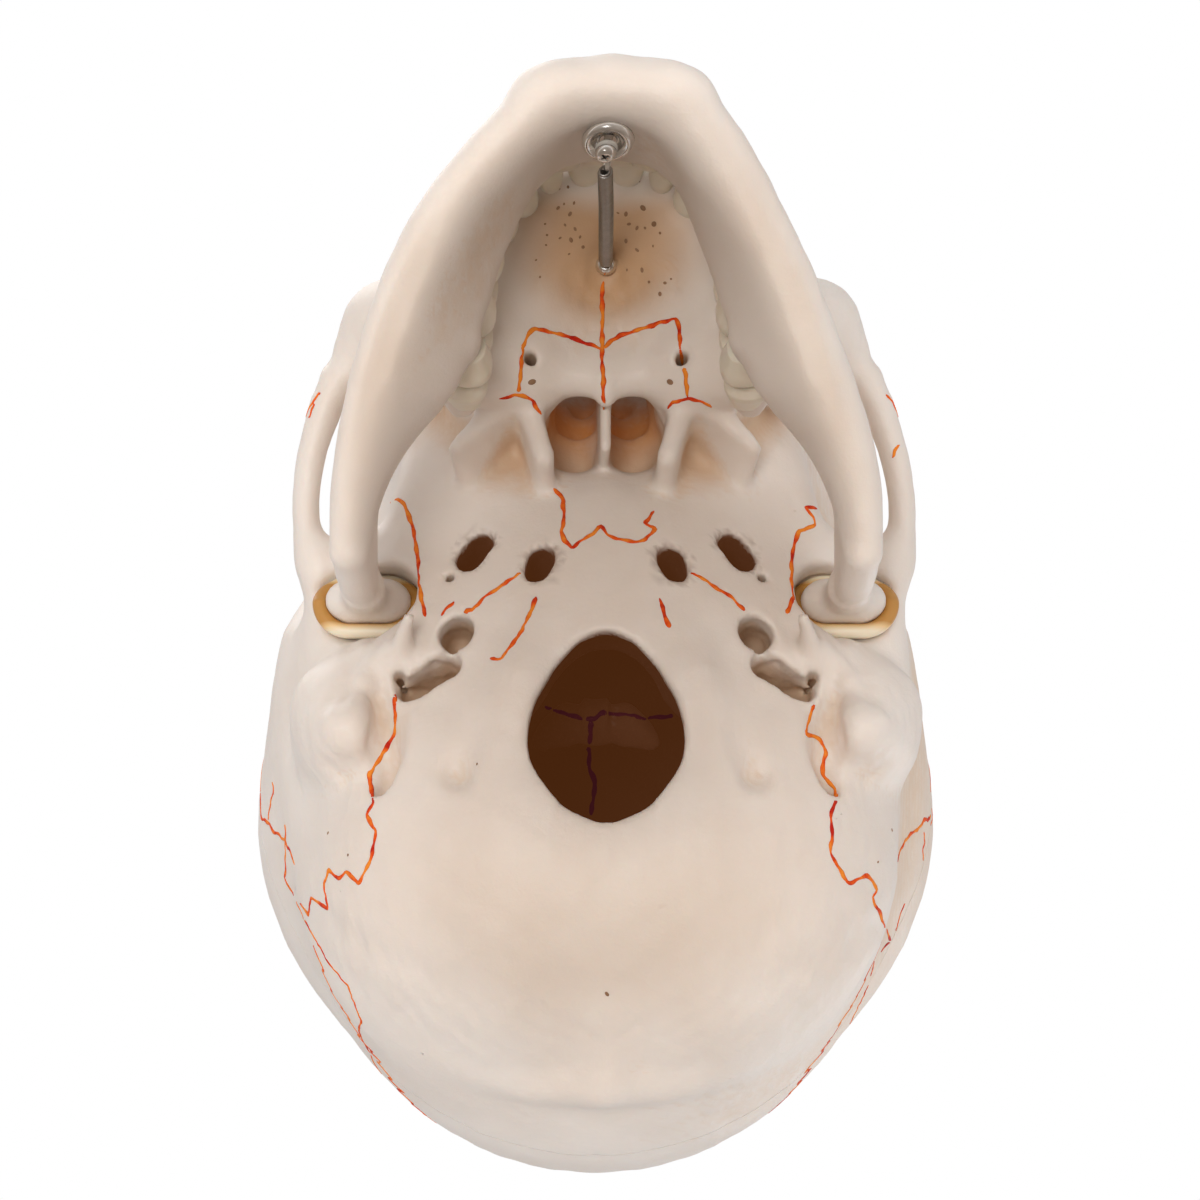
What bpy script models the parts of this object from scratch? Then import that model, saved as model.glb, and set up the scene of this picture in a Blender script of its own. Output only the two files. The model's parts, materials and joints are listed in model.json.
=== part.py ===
"""Anatomical teaching skull: base, lift-off cap and sprung lower jaw with set teeth.

The model is laid out in the eye-and-ear plane, midway between the ears, in metres. Its
face looks along -Y, its left side is +X and up is +Z. Tables of shares give side, forward
and up places, which place() turns into metres. The finished skull is tipped back until it
stands on its jaw angles and the back of its head, as it does on a table.
"""
import math

import bmesh
import bpy
import numpy as np
import openvdb
from mathutils import Matrix, Vector

# Driving dimensions of the skull
FACE_BREADTH = 0.100        # across the outer walls of the eye sockets
BASE_LENGTH = 0.100         # front of the foramen magnum to the root of the nose, rounded
FACE_DROP = 0.100           # eye-and-ear plane to the underside of the chin

# Mouldings
SKULL_WALL = 0.0062         # thickness of the braincase
ORBIT_ROOF = 0.0030         # bone between an eye socket and the brain
PLATE = 0.0024              # thin plates: nasal septum and pterygoid plates
SCULPT_STEP = 0.0016        # spacing of the sculpting grid
VAULT_BLEND = 0.018         # roundness where the bosses of the braincase meet
MIDLINE_SEAM = 0.012        # roundness where left and right bosses meet
FACE_BLEND = 0.006          # roundness where the bones of the face meet
JAW_BLEND = 0.005
CUT_BLEND = 0.003           # roundness of the edges of sockets and holes
HOLE_BLEND = 0.001          # the same for the small holes of the base
TABLE_FLAT = 0.0005         # depth of the flats that the skull stands on

# Fits
GAP = 0.0003                # clearance between pieces that touch
OVERRUN = 0.004             # how far a cutter runs past what it cuts

# Lower jaw joint
JAW_OPENING = math.radians(25)
CONDYLE_RADIUS = 0.0042
DISC_WALL = 0.0020
DISC_SPAN = math.radians(160)
DISC_MARGIN = math.radians(12)
NECK_ROOM = 0.0012          # clearance round the neck of the jaw as it swings

# Cap fastening
PIN_RADIUS = 0.0012
PIN_DEPTH = 0.0060          # in the base
PIN_RISE = 0.0040           # into the cap
MAGNET_RADIUS = 0.0019
MAGNET_HEIGHT = 0.0020

# Jaw spring and its fixings
SPRING_RADIUS = 0.0012      # to the middle of the wire
SPRING_WIRE = 0.0006
SPRING_PITCH = 0.00115
LINK_WIRE = 0.0010
LINK_LENGTH = 0.0058        # from the screw's axis to the spring
SCREW_HEAD_RADIUS = 0.0021
SCREW_HEAD_HEIGHT = 0.0016
SCREW_SHANK_RADIUS = 0.0010
SCREW_GRIP = 0.0045         # length of screw in the plastic
CUP_RADIUS = 0.0050
CUP_HOLE_RADIUS = 0.0015
CUP_HEIGHT = 0.0015
CUP_SINK = 0.0008           # how far the cup washer is let into the chin

# Teeth
TOOTH_ROOT = 0.0062         # length of the peg in its socket
BITE_GAP = 0.0005           # between the upper and lower teeth
OVERBITE = 0.0014
TOOTH_GAP = 0.0003          # between neighbours
RIDGE_RADIUS = 0.0064       # of the ridges that carry the teeth
UPPER_RIDGE_RISE = 0.0150   # of the upper ridge's middle over the bite

# Facets of each moulding
SKULL_FACETS = 5800
JAW_FACETS = 1700


def place(share):
    """Metres for a share of side, forward and up."""
    side, forward, up = share
    return np.array((side * FACE_BREADTH, -forward * BASE_LENGTH, up * FACE_DROP))


def spread(share):
    """Half sizes in metres for shares of side, forward and up."""
    side, forward, up = share
    return np.array((side * FACE_BREADTH, forward * BASE_LENGTH, up * FACE_DROP))


# The sculpting kit: distances to a surface on a grid, below zero inside
def melt(first, second, blend):
    """The nearer of two distances, rounded where they are alike."""
    if not blend:
        return np.minimum(first, second)
    near = np.maximum(blend - np.abs(first - second), 0.0) / blend
    return np.minimum(first, second) - near * near * blend / 4


class Ellipsoid:
    """A ball stretched to three half sizes and turned about X, Y and Z.

    seam rounds off the crease where it meets its mirror image.
    """

    def __init__(self, centre, radii, turn=(0, 0, 0), seam=0.0):
        self.seam = seam
        self.centre = np.array(centre)
        self.radii = np.array(radii)
        angles = [math.radians(angle) for angle in turn]
        self.turn = np.array((Matrix.Rotation(angles[2], 3, "Z") @ Matrix.Rotation(angles[1], 3, "Y")
                              @ Matrix.Rotation(angles[0], 3, "X")))
        reach = np.sqrt((self.turn ** 2) @ (self.radii ** 2))
        self.low = self.centre - reach
        self.high = self.centre + reach

    def distance(self, x, y, z):
        side = np.sqrt(x ** 2 + self.seam ** 2) if self.seam else x
        offset = (side - self.centre[0], y - self.centre[1], z - self.centre[2])
        ratio = 0
        slope = 0
        for axis in range(3):
            along = sum(self.turn[row, axis] * offset[row] for row in range(3))
            ratio = ratio + (along / self.radii[axis]) ** 2
            slope = slope + (along / self.radii[axis] ** 2) ** 2
        ratio = np.sqrt(ratio)
        slope = np.sqrt(slope)
        width = ratio / np.maximum(slope, 1.0)
        width = np.where(slope > 1.0, width, self.radii.min())
        return width * (ratio - 1.0)


class Rod:
    """A chain of tapering round rods through points, each (x, y, z, radius).

    flat below 1 thins the chain along the direction across.
    """

    def __init__(self, points, flat=1.0, across=(1, 0, 0)):
        self.points = [np.array(point[:3]) for point in points]
        self.radii = [point[3] for point in points]
        self.stretch = 1.0 / flat
        self.across = np.array(across) / np.linalg.norm(across)
        self.low = np.min([point - radius for point, radius in zip(self.points, self.radii)], axis=0)
        self.high = np.max([point + radius for point, radius in zip(self.points, self.radii)], axis=0)

    def distance(self, x, y, z):
        best = None
        for index in range(max(len(self.points) - 1, 1)):
            start = self.points[index]
            last = min(index + 1, len(self.points) - 1)
            run = self.points[last] - start
            length = run @ run
            offset = [x - start[0], y - start[1], z - start[2]]
            if length:
                along = (offset[0] * run[0] + offset[1] * run[1] + offset[2] * run[2]) / length
                along = np.clip(along, 0.0, 1.0)
                offset = [offset[axis] - along * run[axis] for axis in range(3)]
            else:
                along = 0.0
            radius = self.radii[index] + along * (self.radii[last] - self.radii[index])
            if self.stretch == 1.0:
                far = np.sqrt(offset[0] ** 2 + offset[1] ** 2 + offset[2] ** 2)
                gap = far - radius
            else:
                over = sum(offset[axis] * self.across[axis] for axis in range(3))
                square = offset[0] ** 2 + offset[1] ** 2 + offset[2] ** 2
                far = np.sqrt(square + (self.stretch ** 2 - 1) * over ** 2)
                steep = np.sqrt(square + (self.stretch ** 4 - 1) * over ** 2)
                gap = (far - radius) * far / np.maximum(steep, far / self.stretch ** 2 + SCULPT_STEP / 1000)
            best = gap if best is None else np.minimum(best, gap)
        return best


class Box:
    """A block with half sizes, rounded edges and a turn about X."""

    def __init__(self, centre, halves, rounding=0.0, tilt=0.0):
        self.centre = np.array(centre)
        self.halves = np.array(halves)
        self.rounding = rounding
        self.cosine = math.cos(math.radians(tilt))
        self.sine = math.sin(math.radians(tilt))
        reach = np.array((self.halves[0],
                          abs(self.cosine) * self.halves[1] + abs(self.sine) * self.halves[2],
                          abs(self.sine) * self.halves[1] + abs(self.cosine) * self.halves[2]))
        self.low = self.centre - reach
        self.high = self.centre + reach

    def distance(self, x, y, z):
        back = (y - self.centre[1]) * self.cosine + (z - self.centre[2]) * self.sine
        rise = (z - self.centre[2]) * self.cosine - (y - self.centre[1]) * self.sine
        over = [np.abs(x - self.centre[0]) - self.halves[0] + self.rounding,
                np.abs(back) - self.halves[1] + self.rounding,
                np.abs(rise) - self.halves[2] + self.rounding]
        outside = np.sqrt(sum(np.maximum(part, 0.0) ** 2 for part in over))
        inside = np.minimum(np.maximum(np.maximum(over[0], over[1]), over[2]), 0.0)
        return outside + inside - self.rounding


class Well:
    """A straight-sided hole: a closed outline of (x, y) points between two heights."""

    def __init__(self, outline, bottom, top):
        self.outline = np.array(outline)
        self.low = np.array((*self.outline.min(axis=0), bottom))
        self.high = np.array((*self.outline.max(axis=0), top))

    def distance(self, x, y, z):
        nearest = None
        inside = np.zeros(np.broadcast(x, y).shape, bool)
        for start, end in zip(self.outline, np.roll(self.outline, -1, axis=0)):
            run = end - start
            along = np.clip(((x - start[0]) * run[0] + (y - start[1]) * run[1]) / (run @ run), 0.0, 1.0)
            square = (x - start[0] - along * run[0]) ** 2 + (y - start[1] - along * run[1]) ** 2
            nearest = square if nearest is None else np.minimum(nearest, square)
            crosses = (y < start[1]) != (y < end[1])
            slope = run[0] / run[1] if run[1] else 0.0
            inside ^= crosses & (x < start[0] + (y - start[1]) * slope)
        flat = np.sqrt(nearest) * np.where(inside, -1.0, 1.0)
        tall = np.maximum(self.low[2] - z, z - self.high[2])
        return np.maximum(flat, tall)


class Clay:
    """One moulding as distances on a grid of its left half, mirrored when it is meshed."""

    def __init__(self, low, high, step=SCULPT_STEP):
        self.step = step
        self.axes = []
        for start, end in zip(low, high):
            count = int(math.ceil((end - start) / step)) + 1
            self.axes.append(start + step * np.arange(count))
        self.field = np.full([len(axis) for axis in self.axes], VAULT_BLEND)

    def window(self, shape, margin):
        """The part of the grid that a shape can change, and its points."""
        parts = []
        for axis, low, high in zip(self.axes, shape.low, shape.high):
            parts.append(slice(np.searchsorted(axis, low - margin), np.searchsorted(axis, high + margin)))
        lines = [axis[part] for axis, part in zip(self.axes, parts)]
        return tuple(parts), np.meshgrid(*lines, indexing="ij", sparse=True)

    def add(self, shape, blend=0.0):
        parts, grid = self.window(shape, blend + 3 * self.step)
        self.field[parts] = melt(self.field[parts], shape.distance(*grid), blend)

    def cut(self, shape, blend=0.0):
        parts, grid = self.window(shape, blend + 3 * self.step)
        self.field[parts] = -melt(-self.field[parts], shape.distance(*grid), blend)

    def hollow(self, other, blend=0.0):
        """Cut away another moulding on the same grid."""
        self.field = -melt(-self.field, other.field, blend)

    def mesh(self, name, facets):
        """A closed object with about as many triangles as facets says."""
        whole = np.concatenate((self.field[:0:-1], self.field)).astype(np.float32)
        grid = openvdb.FloatGrid(VAULT_BLEND)
        grid.copyFromArray(whole)
        grid.transform = openvdb.createLinearTransform(voxelSize=self.step)
        points, quads = grid.convertToQuads()
        points = points + np.array((-self.axes[0][-1], self.axes[1][0], self.axes[2][0]))
        data = bpy.data.meshes.new(name)
        data.from_pydata(points.tolist(), [], quads.tolist())
        item = bpy.data.objects.new(name, data)
        bpy.context.scene.collection.objects.link(item)
        keep_largest(item)
        thin = item.modifiers.new("Thin", "DECIMATE")
        thin.ratio = min(facets / (2 * len(data.polygons)), 1.0)
        thin.use_collapse_triangulate = True
        apply_modifiers(item)
        keep_largest(item)
        return item


# Mesh helpers
def apply_modifiers(item):
    graph = bpy.context.evaluated_depsgraph_get()
    data = bpy.data.meshes.new_from_object(item.evaluated_get(graph))
    item.modifiers.clear()
    item.data = data


def keep_largest(item):
    """Drop crumbs that a cut left beside the main body."""
    work = bmesh.new()
    work.from_mesh(item.data)
    left = set(work.verts)
    bodies = []
    while left:
        body = [left.pop()]
        for vert in body:
            for edge in vert.link_edges:
                other = edge.other_vert(vert)
                if other in left:
                    left.remove(other)
                    body.append(other)
        bodies.append(body)
    bodies.sort(key=len)
    for body in bodies[:-1]:
        bmesh.ops.delete(work, geom=body, context="VERTS")
    work.to_mesh(item.data)
    work.free()


def new_object(name, work):
    """An object from a bmesh, with its faces pointing out."""
    bmesh.ops.recalc_face_normals(work, faces=work.faces)
    data = bpy.data.meshes.new(name)
    work.to_mesh(data)
    work.free()
    item = bpy.data.objects.new(name, data)
    bpy.context.scene.collection.objects.link(item)
    return item


def frame_along(centre, axis, forward=(0, -1, 0)):
    """A placing whose Z runs along axis and whose Y keeps to forward."""
    up = Vector(axis).normalized()
    right = Vector(forward).cross(up).normalized()
    ahead = up.cross(right)
    turn = Matrix((right, ahead, up)).transposed().to_4x4()
    return Matrix.Translation(Vector(centre)) @ turn


def turned(name, profile, placing, sides=16):
    """A solid of revolution about Z from (radius, height) points, closed on its axis or as a ring."""
    work = bmesh.new()
    rings = []
    for radius, height in profile:
        if radius == 0:
            rings.append([work.verts.new((0, 0, height))])
            continue
        ring = []
        for index in range(sides):
            angle = 2 * math.pi * index / sides
            ring.append(work.verts.new((radius * math.cos(angle), radius * math.sin(angle), height)))
        rings.append(ring)
    closed = all(radius > 0 for radius, _ in profile)
    pairs = list(zip(rings, rings[1:]))
    if closed:
        pairs.append((rings[-1], rings[0]))
    for lower, upper in pairs:
        for index in range(sides):
            after = (index + 1) % sides
            corners = [lower[index % len(lower)], lower[after % len(lower)],
                       upper[after % len(upper)], upper[index % len(upper)]]
            work.faces.new(dict.fromkeys(corners))
    work.transform(placing)
    return new_object(name, work)


def cylinder(name, radius, bottom, top, placing, sides=16):
    return turned(name, ((0, bottom), (radius, bottom), (radius, top), (0, top)), placing, sides)


def cut_away(item, cutter):
    """Subtract one object from another, and remove the cutter."""
    trim = item.modifiers.new("Trim", "BOOLEAN")
    trim.operation = "DIFFERENCE"
    trim.object = cutter
    apply_modifiers(item)
    bpy.data.objects.remove(cutter)


def slice_off(item, point, facing):
    """Cut an object flat at a plane in world space, drop what lies beyond it and close the cut."""
    bpy.context.view_layer.update()
    back = item.matrix_world.inverted()
    spot = back @ Vector(point)
    normal = (back.to_3x3() @ Vector(facing)).normalized()
    work = bmesh.new()
    work.from_mesh(item.data)
    parts = work.verts[:] + work.edges[:] + work.faces[:]
    cut = bmesh.ops.bisect_plane(work, geom=parts, dist=GAP / 1000, plane_co=spot, plane_no=normal, clear_outer=True)
    edges = [part for part in cut["geom_cut"] if isinstance(part, bmesh.types.BMEdge) and part.is_boundary]
    bmesh.ops.triangle_fill(work, edges=edges, use_beauty=True, normal=normal)
    bmesh.ops.recalc_face_normals(work, faces=work.faces)
    work.to_mesh(item.data)
    work.free()
    keep_largest(item)


# Space that each moulding takes: front and lower corner, then back and upper corner on its left
SKULL_REACH_SHARES = ((0.0, 1.08, -0.52), (0.78, -0.98, 1.28))
JAW_REACH_SHARES = ((0.0, 1.02, -1.06), (0.62, -0.06, 0.02))

# The braincase
VAULT_SHARES = (
    # centre side, forward, up; half sizes side, forward, up
    ((0.00, 0.03, 0.42), (0.69, 0.90, 0.765)),      # braincase
    ((0.19, 0.50, 0.58), (0.33, 0.44, 0.45)),       # frontal boss
    ((0.29, -0.20, 0.58), (0.42, 0.52, 0.47)),      # parietal boss
    ((0.00, -0.43, 0.36), (0.46, 0.44, 0.44)),      # occiput
)
LOBE_SHARES = (
    ((0.21, -0.34, 0.03), (0.36, 0.37, 0.335)),     # behind the foramen magnum
    ((0.35, 0.16, 0.17), (0.27, 0.36, 0.29)),       # temple
    ((0.31, 0.48, 0.12), (0.12, 0.20, 0.22)),       # greater wing
)
TEMPLE_HOLLOW_SHARES = ((0.60, 0.52, 0.02), (0.17, 0.30, 0.26))
BRAIN_FLOOR_SHARES = ((0.0, 0.0, -0.30), (1.2, 1.2, 0.60))     # centre and half sizes of what fills the floor
BRAIN_SHARES = (
    ((0.30, 0.20, 0.16), (0.19, 0.28, 0.20)),       # temporal lobe
    ((0.22, -0.36, 0.07), (0.31, 0.33, 0.30)),      # cerebellum
    ((0.00, -0.30, 0.14), (0.34, 0.40, 0.26)),
)
BRAINSTEM_SHARES = ((0.0, 0.20, 0.22, 0.09), (0.0, 0.02, 0.00, 0.10), (0.0, -0.12, -0.20, 0.12))
FORAMEN_MAGNUM_SHARES = (
    (0.000, 0.060), (0.055, 0.030), (0.105, -0.030), (0.145, -0.105), (0.155, -0.165),
    (0.140, -0.230), (0.095, -0.295), (0.045, -0.330), (0.000, -0.338),
)
FORAMEN_DEPTH_SHARES = (-0.50, 0.05)

# Bones of the face: side, forward, up and radius
BROW_SHARES = ((0.05, 0.935, 0.335, 0.055), (0.20, 0.925, 0.365, 0.060), (0.34, 0.870, 0.355, 0.060),
               (0.44, 0.800, 0.300, 0.052), (0.485, 0.755, 0.200, 0.045))
LATERAL_RIM_SHARES = ((0.485, 0.755, 0.20, 0.045), (0.490, 0.735, 0.10, 0.042), (0.475, 0.745, -0.01, 0.045),
                      (0.450, 0.780, -0.10, 0.060))
LOWER_RIM_SHARES = ((0.46, 0.760, -0.035, 0.045), (0.37, 0.835, -0.055, 0.045), (0.26, 0.885, -0.045, 0.045),
                    (0.175, 0.915, 0.020, 0.040))
NOSE_SIDE_SHARES = ((0.150, 0.935, -0.10, 0.045), (0.135, 0.935, 0.00, 0.036), (0.115, 0.935, 0.10, 0.034),
                    (0.085, 0.920, 0.22, 0.036))
NASAL_BONE_SHARES = ((0.030, 1.000, 0.050, 0.022), (0.030, 0.970, 0.140, 0.026), (0.035, 0.930, 0.250, 0.036))
BETWEEN_EYES_SHARES = ((0.0, 0.87, 0.28, 0.090), (0.0, 0.62, 0.16, 0.110), (0.0, 0.42, 0.08, 0.110))
EYE_WALL_TOP_SHARES = ((0.470, 0.750, 0.28, 0.030), (0.420, 0.600, 0.30, 0.040), (0.400, 0.450, 0.32, 0.050))
EYE_WALL_LOW_SHARES = ((0.455, 0.760, -0.02, 0.030), (0.370, 0.600, -0.03, 0.035), (0.340, 0.450, -0.02, 0.040))
ARCH_SHARES = ((0.465, 0.740, -0.13, 0.064), (0.545, 0.650, -0.11, 0.052), (0.594, 0.520, -0.07, 0.044),
               (0.607, 0.400, -0.05, 0.046), (0.600, 0.300, -0.04, 0.050), (0.575, 0.210, 0.00, 0.056),
               (0.565, 0.060, 0.03, 0.050))
CHEEK_SHARES = ((0.44, 0.78, -0.18, 0.070), (0.34, 0.76, -0.34, 0.060))
SPHENOID_SHARES = ((0.0, 0.44, 0.00, 0.120), (0.0, 0.26, -0.07, 0.105), (0.0, 0.09, -0.19, 0.075))
PETROUS_SHARES = ((0.50, -0.03, -0.09, 0.100), (0.34, 0.06, -0.11, 0.085), (0.22, 0.15, -0.09, 0.070),
                  (0.15, 0.20, -0.06, 0.050))
MASTOID_SHARES = ((0.50, -0.08, -0.04, 0.125), (0.51, -0.13, -0.22, 0.075))
TYMPANIC_SHARES = ((0.56, -0.01, -0.07, 0.045), (0.38, 0.04, -0.12, 0.040))
TUBERCLE_SHARES = ((0.38, 0.31, -0.03, 0.050), (0.57, 0.30, -0.04, 0.050))
CONDYLE_BASE_SHARES = ((0.13, 0.04, -0.255, 0.040), (0.18, -0.06, -0.285, 0.055), (0.205, -0.16, -0.260, 0.045))
SPINE_SHARES = ((0.0, 0.930, -0.275, 0.035), (0.0, 0.985, -0.270, 0.012))
FACE_BALL_SHARES = (
    ((0.00, 0.920, 0.33), (0.16, 0.09, 0.11)),      # glabella
    ((0.43, 0.770, -0.14), (0.12, 0.12, 0.13)),     # cheekbone
    ((0.20, 0.760, -0.20), (0.20, 0.22, 0.21)),     # upper jaw
    ((0.13, 0.880, -0.28), (0.17, 0.11, 0.17)),
    ((0.19, 0.520, -0.22), (0.11, 0.10, 0.18)),     # tuberosity
)
PALATE_SHARES = ((0.0, 0.72, -0.300), (0.25, 0.22, 0.030))

# Holes of the face and base
ORBIT_SHARES = (
    ((0.275, 1.000, 0.165, 0.175), (0.265, 0.770, 0.160, 0.155), (0.200, 0.590, 0.150, 0.110),
     (0.130, 0.470, 0.140, 0.040)),
    ((0.375, 1.000, 0.140, 0.175), (0.330, 0.780, 0.145, 0.150), (0.265, 0.650, 0.150, 0.110)),
)
EAR_HOLE_SHARES = ((0.70, -0.01, -0.02, 0.038), (0.46, 0.01, -0.02, 0.032))
CANINE_HOLLOW_SHARES = ((0.265, 0.985, -0.200), (0.085, 0.12, 0.10))
NASAL_WAY_SHARES = (
    ((0.080, 1.060, -0.190, 0.064), (0.080, 0.340, -0.165, 0.066)),
    ((0.072, 1.060, -0.100, 0.056), (0.078, 0.360, -0.090, 0.060)),
    ((0.060, 1.060, -0.010, 0.044), (0.055, 0.560, -0.010, 0.040)),
)
OVALE_SHARES = ((0.265, 0.30, -0.30, 0.028), (0.265, 0.28, 0.20, 0.028))
LACERUM_SHARES = ((0.133, 0.25, -0.30, 0.024), (0.133, 0.25, 0.30, 0.024))
LATERAL_PLATE_SHARES = (
    ((0.195, 0.455, -0.01), (0.200, 0.460, -0.28)),
    ((0.255, 0.350, -0.02), (0.295, 0.385, -0.24)),
)
MEDIAL_PLATE_SHARES = (
    ((0.160, 0.455, -0.02), (0.165, 0.460, -0.28)),
    ((0.128, 0.360, -0.03), (0.125, 0.380, -0.27)),
)

# Cap
CAP_PLANE_SHARE = (0.0, 0.0, 0.396)
CAP_SLOPE_SHARE = 0.1124
PIN_BEARINGS = (("front", 0), ("left", 118), ("right", -118))       # degrees from the brow, to the left
MAGNET_BEARINGS = (("left", 60), ("back", 180), ("right", -60))

# Lower jaw: side, forward, up and radius
HINGE_SHARE = (0.0, 0.195, -0.095)
CONDYLE_ENDS_SHARE = (0.400, 0.550)
JAW_EDGE_SHARES = ((0.0, 0.885, -0.935, 0.062), (0.11, 0.875, -0.935, 0.063), (0.175, 0.835, -0.915, 0.062),
                   (0.26, 0.715, -0.865, 0.058), (0.36, 0.545, -0.785, 0.054), (0.44, 0.350, -0.685, 0.048),
                   (0.480, 0.210, -0.610, 0.044), (0.487, 0.110, -0.560, 0.036))
JAW_RIDGE_SHARES = ((0.0, 0.910, -0.700, 0.052), (0.105, 0.890, -0.700, 0.052), (0.185, 0.815, -0.690, 0.053),
                    (0.235, 0.700, -0.670, 0.056), (0.275, 0.580, -0.655, 0.058), (0.315, 0.460, -0.630, 0.052),
                    (0.385, 0.420, -0.520, 0.040), (0.430, 0.430, -0.400, 0.036))
RAMUS_BACK_SHARES = ((0.487, 0.110, -0.560, 0.036), (0.487, 0.105, -0.440, 0.033), (0.480, 0.130, -0.340, 0.031),
                     (0.475, 0.165, -0.245, 0.032))
RAMUS_FRONT_SHARES = ((0.440, 0.380, -0.600, 0.040), (0.435, 0.430, -0.450, 0.034), (0.442, 0.430, -0.330, 0.028),
                      (0.446, 0.400, -0.245, 0.026))
NECK_SHARES = ((0.475, 0.165, -0.250, 0.032), (0.475, 0.188, -0.130, 0.032))
CORONOID_SHARES = ((0.445, 0.400, -0.300, 0.030), (0.450, 0.410, -0.130, 0.017))
CHIN_SHARES = (((0.00, 0.915, -0.885), (0.12, 0.045, 0.07)),
               ((0.13, 0.890, -0.930), (0.06, 0.05, 0.05)))


def rod(shares, flat=1.0, across=(1, 0, 0)):
    points = [(*place(share[:3]), share[3] * FACE_BREADTH) for share in shares]
    return Rod(points, flat, across)


def add_sheet(clay, first, second, blend, count, flat=1.0):
    """A plate between two rods with as many points: rods from one to the other."""
    for step in range(count + 1):
        part = step / count
        shares = [tuple((1 - part) * start + part * end for start, end in zip(a, b)) for a, b in zip(first, second)]
        clay.add(rod(shares, flat), blend)


def shrunk(half_sizes, wall):
    return spread(half_sizes) - wall


def brain(clay):
    """The hollow of the braincase on the grid of a moulding."""
    space = Clay([axis[0] for axis in clay.axes], [axis[-1] for axis in clay.axes])
    for centre, halves in VAULT_SHARES:
        space.add(Ellipsoid(place(centre), shrunk(halves, SKULL_WALL), seam=MIDLINE_SEAM), VAULT_BLEND)
    centre, halves = BRAIN_FLOOR_SHARES
    space.cut(Box(place(centre), spread(halves)), CUT_BLEND)
    for centre, halves in BRAIN_SHARES:
        space.add(Ellipsoid(place(centre), spread(halves), seam=MIDLINE_SEAM), FACE_BLEND)
    space.add(rod(BRAINSTEM_SHARES), FACE_BLEND)
    for socket in ORBIT_SHARES:
        roof = [(*share[:3], share[3] + ORBIT_ROOF / FACE_BREADTH) for share in socket]
        space.cut(rod(roof), FACE_BLEND)
    return space


def dental_point(turn, side, length, centre):
    """A place on a dental arch: turn 0 at the front, 1 where the straight back part begins."""
    angle = turn * math.pi / 2
    power = 2 / ARCH_FULLNESS
    return np.array((side * math.sin(angle) ** power, centre + length * math.cos(angle) ** power))


# Dental arches: half width, length forward of the straight part, and its start, as shares
ARCH_FULLNESS = 2.3
UPPER_ARCH_SHARE = (0.275, 0.385, 0.580)
LOWER_ARCH_SHARE = (0.255, 0.358, 0.580)
ARCH_TAIL_SHARE = (0.012, -0.220)   # how far the straight back part runs outward and forward
RIDGE_BACK_SHARE = 0.46             # forward place where the upper ridge ends
BITE_SHARE = (-0.427, -0.146)       # height of the bite at the ears, and its rise forward


def arch_line(arch, count=96):
    """Points (side, forward) in metres along the left half of a dental arch, from the front."""
    side, length, centre = arch
    points = [dental_point(step / count, side, length, centre) for step in range(count + 1)]
    points.append(np.array((side, centre)) + ARCH_TAIL_SHARE)
    return [np.array((point[0] * FACE_BREADTH, point[1] * BASE_LENGTH)) for point in points]


def bite_height(forward):
    """Height of the bite in metres at a place forward of the ears, in metres."""
    return BITE_SHARE[0] * FACE_DROP + BITE_SHARE[1] * forward * FACE_DROP / BASE_LENGTH


def upper_ridge():
    """The ridge that carries the upper teeth, followed along their arch."""
    line = arch_line(UPPER_ARCH_SHARE)
    points = []
    for side, forward in line[::8] + [line[-1]]:
        if forward < RIDGE_BACK_SHARE * BASE_LENGTH:
            continue
        points.append((side, -forward, bite_height(forward) + UPPER_RIDGE_RISE, RIDGE_RADIUS))
    return Rod(points)


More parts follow.
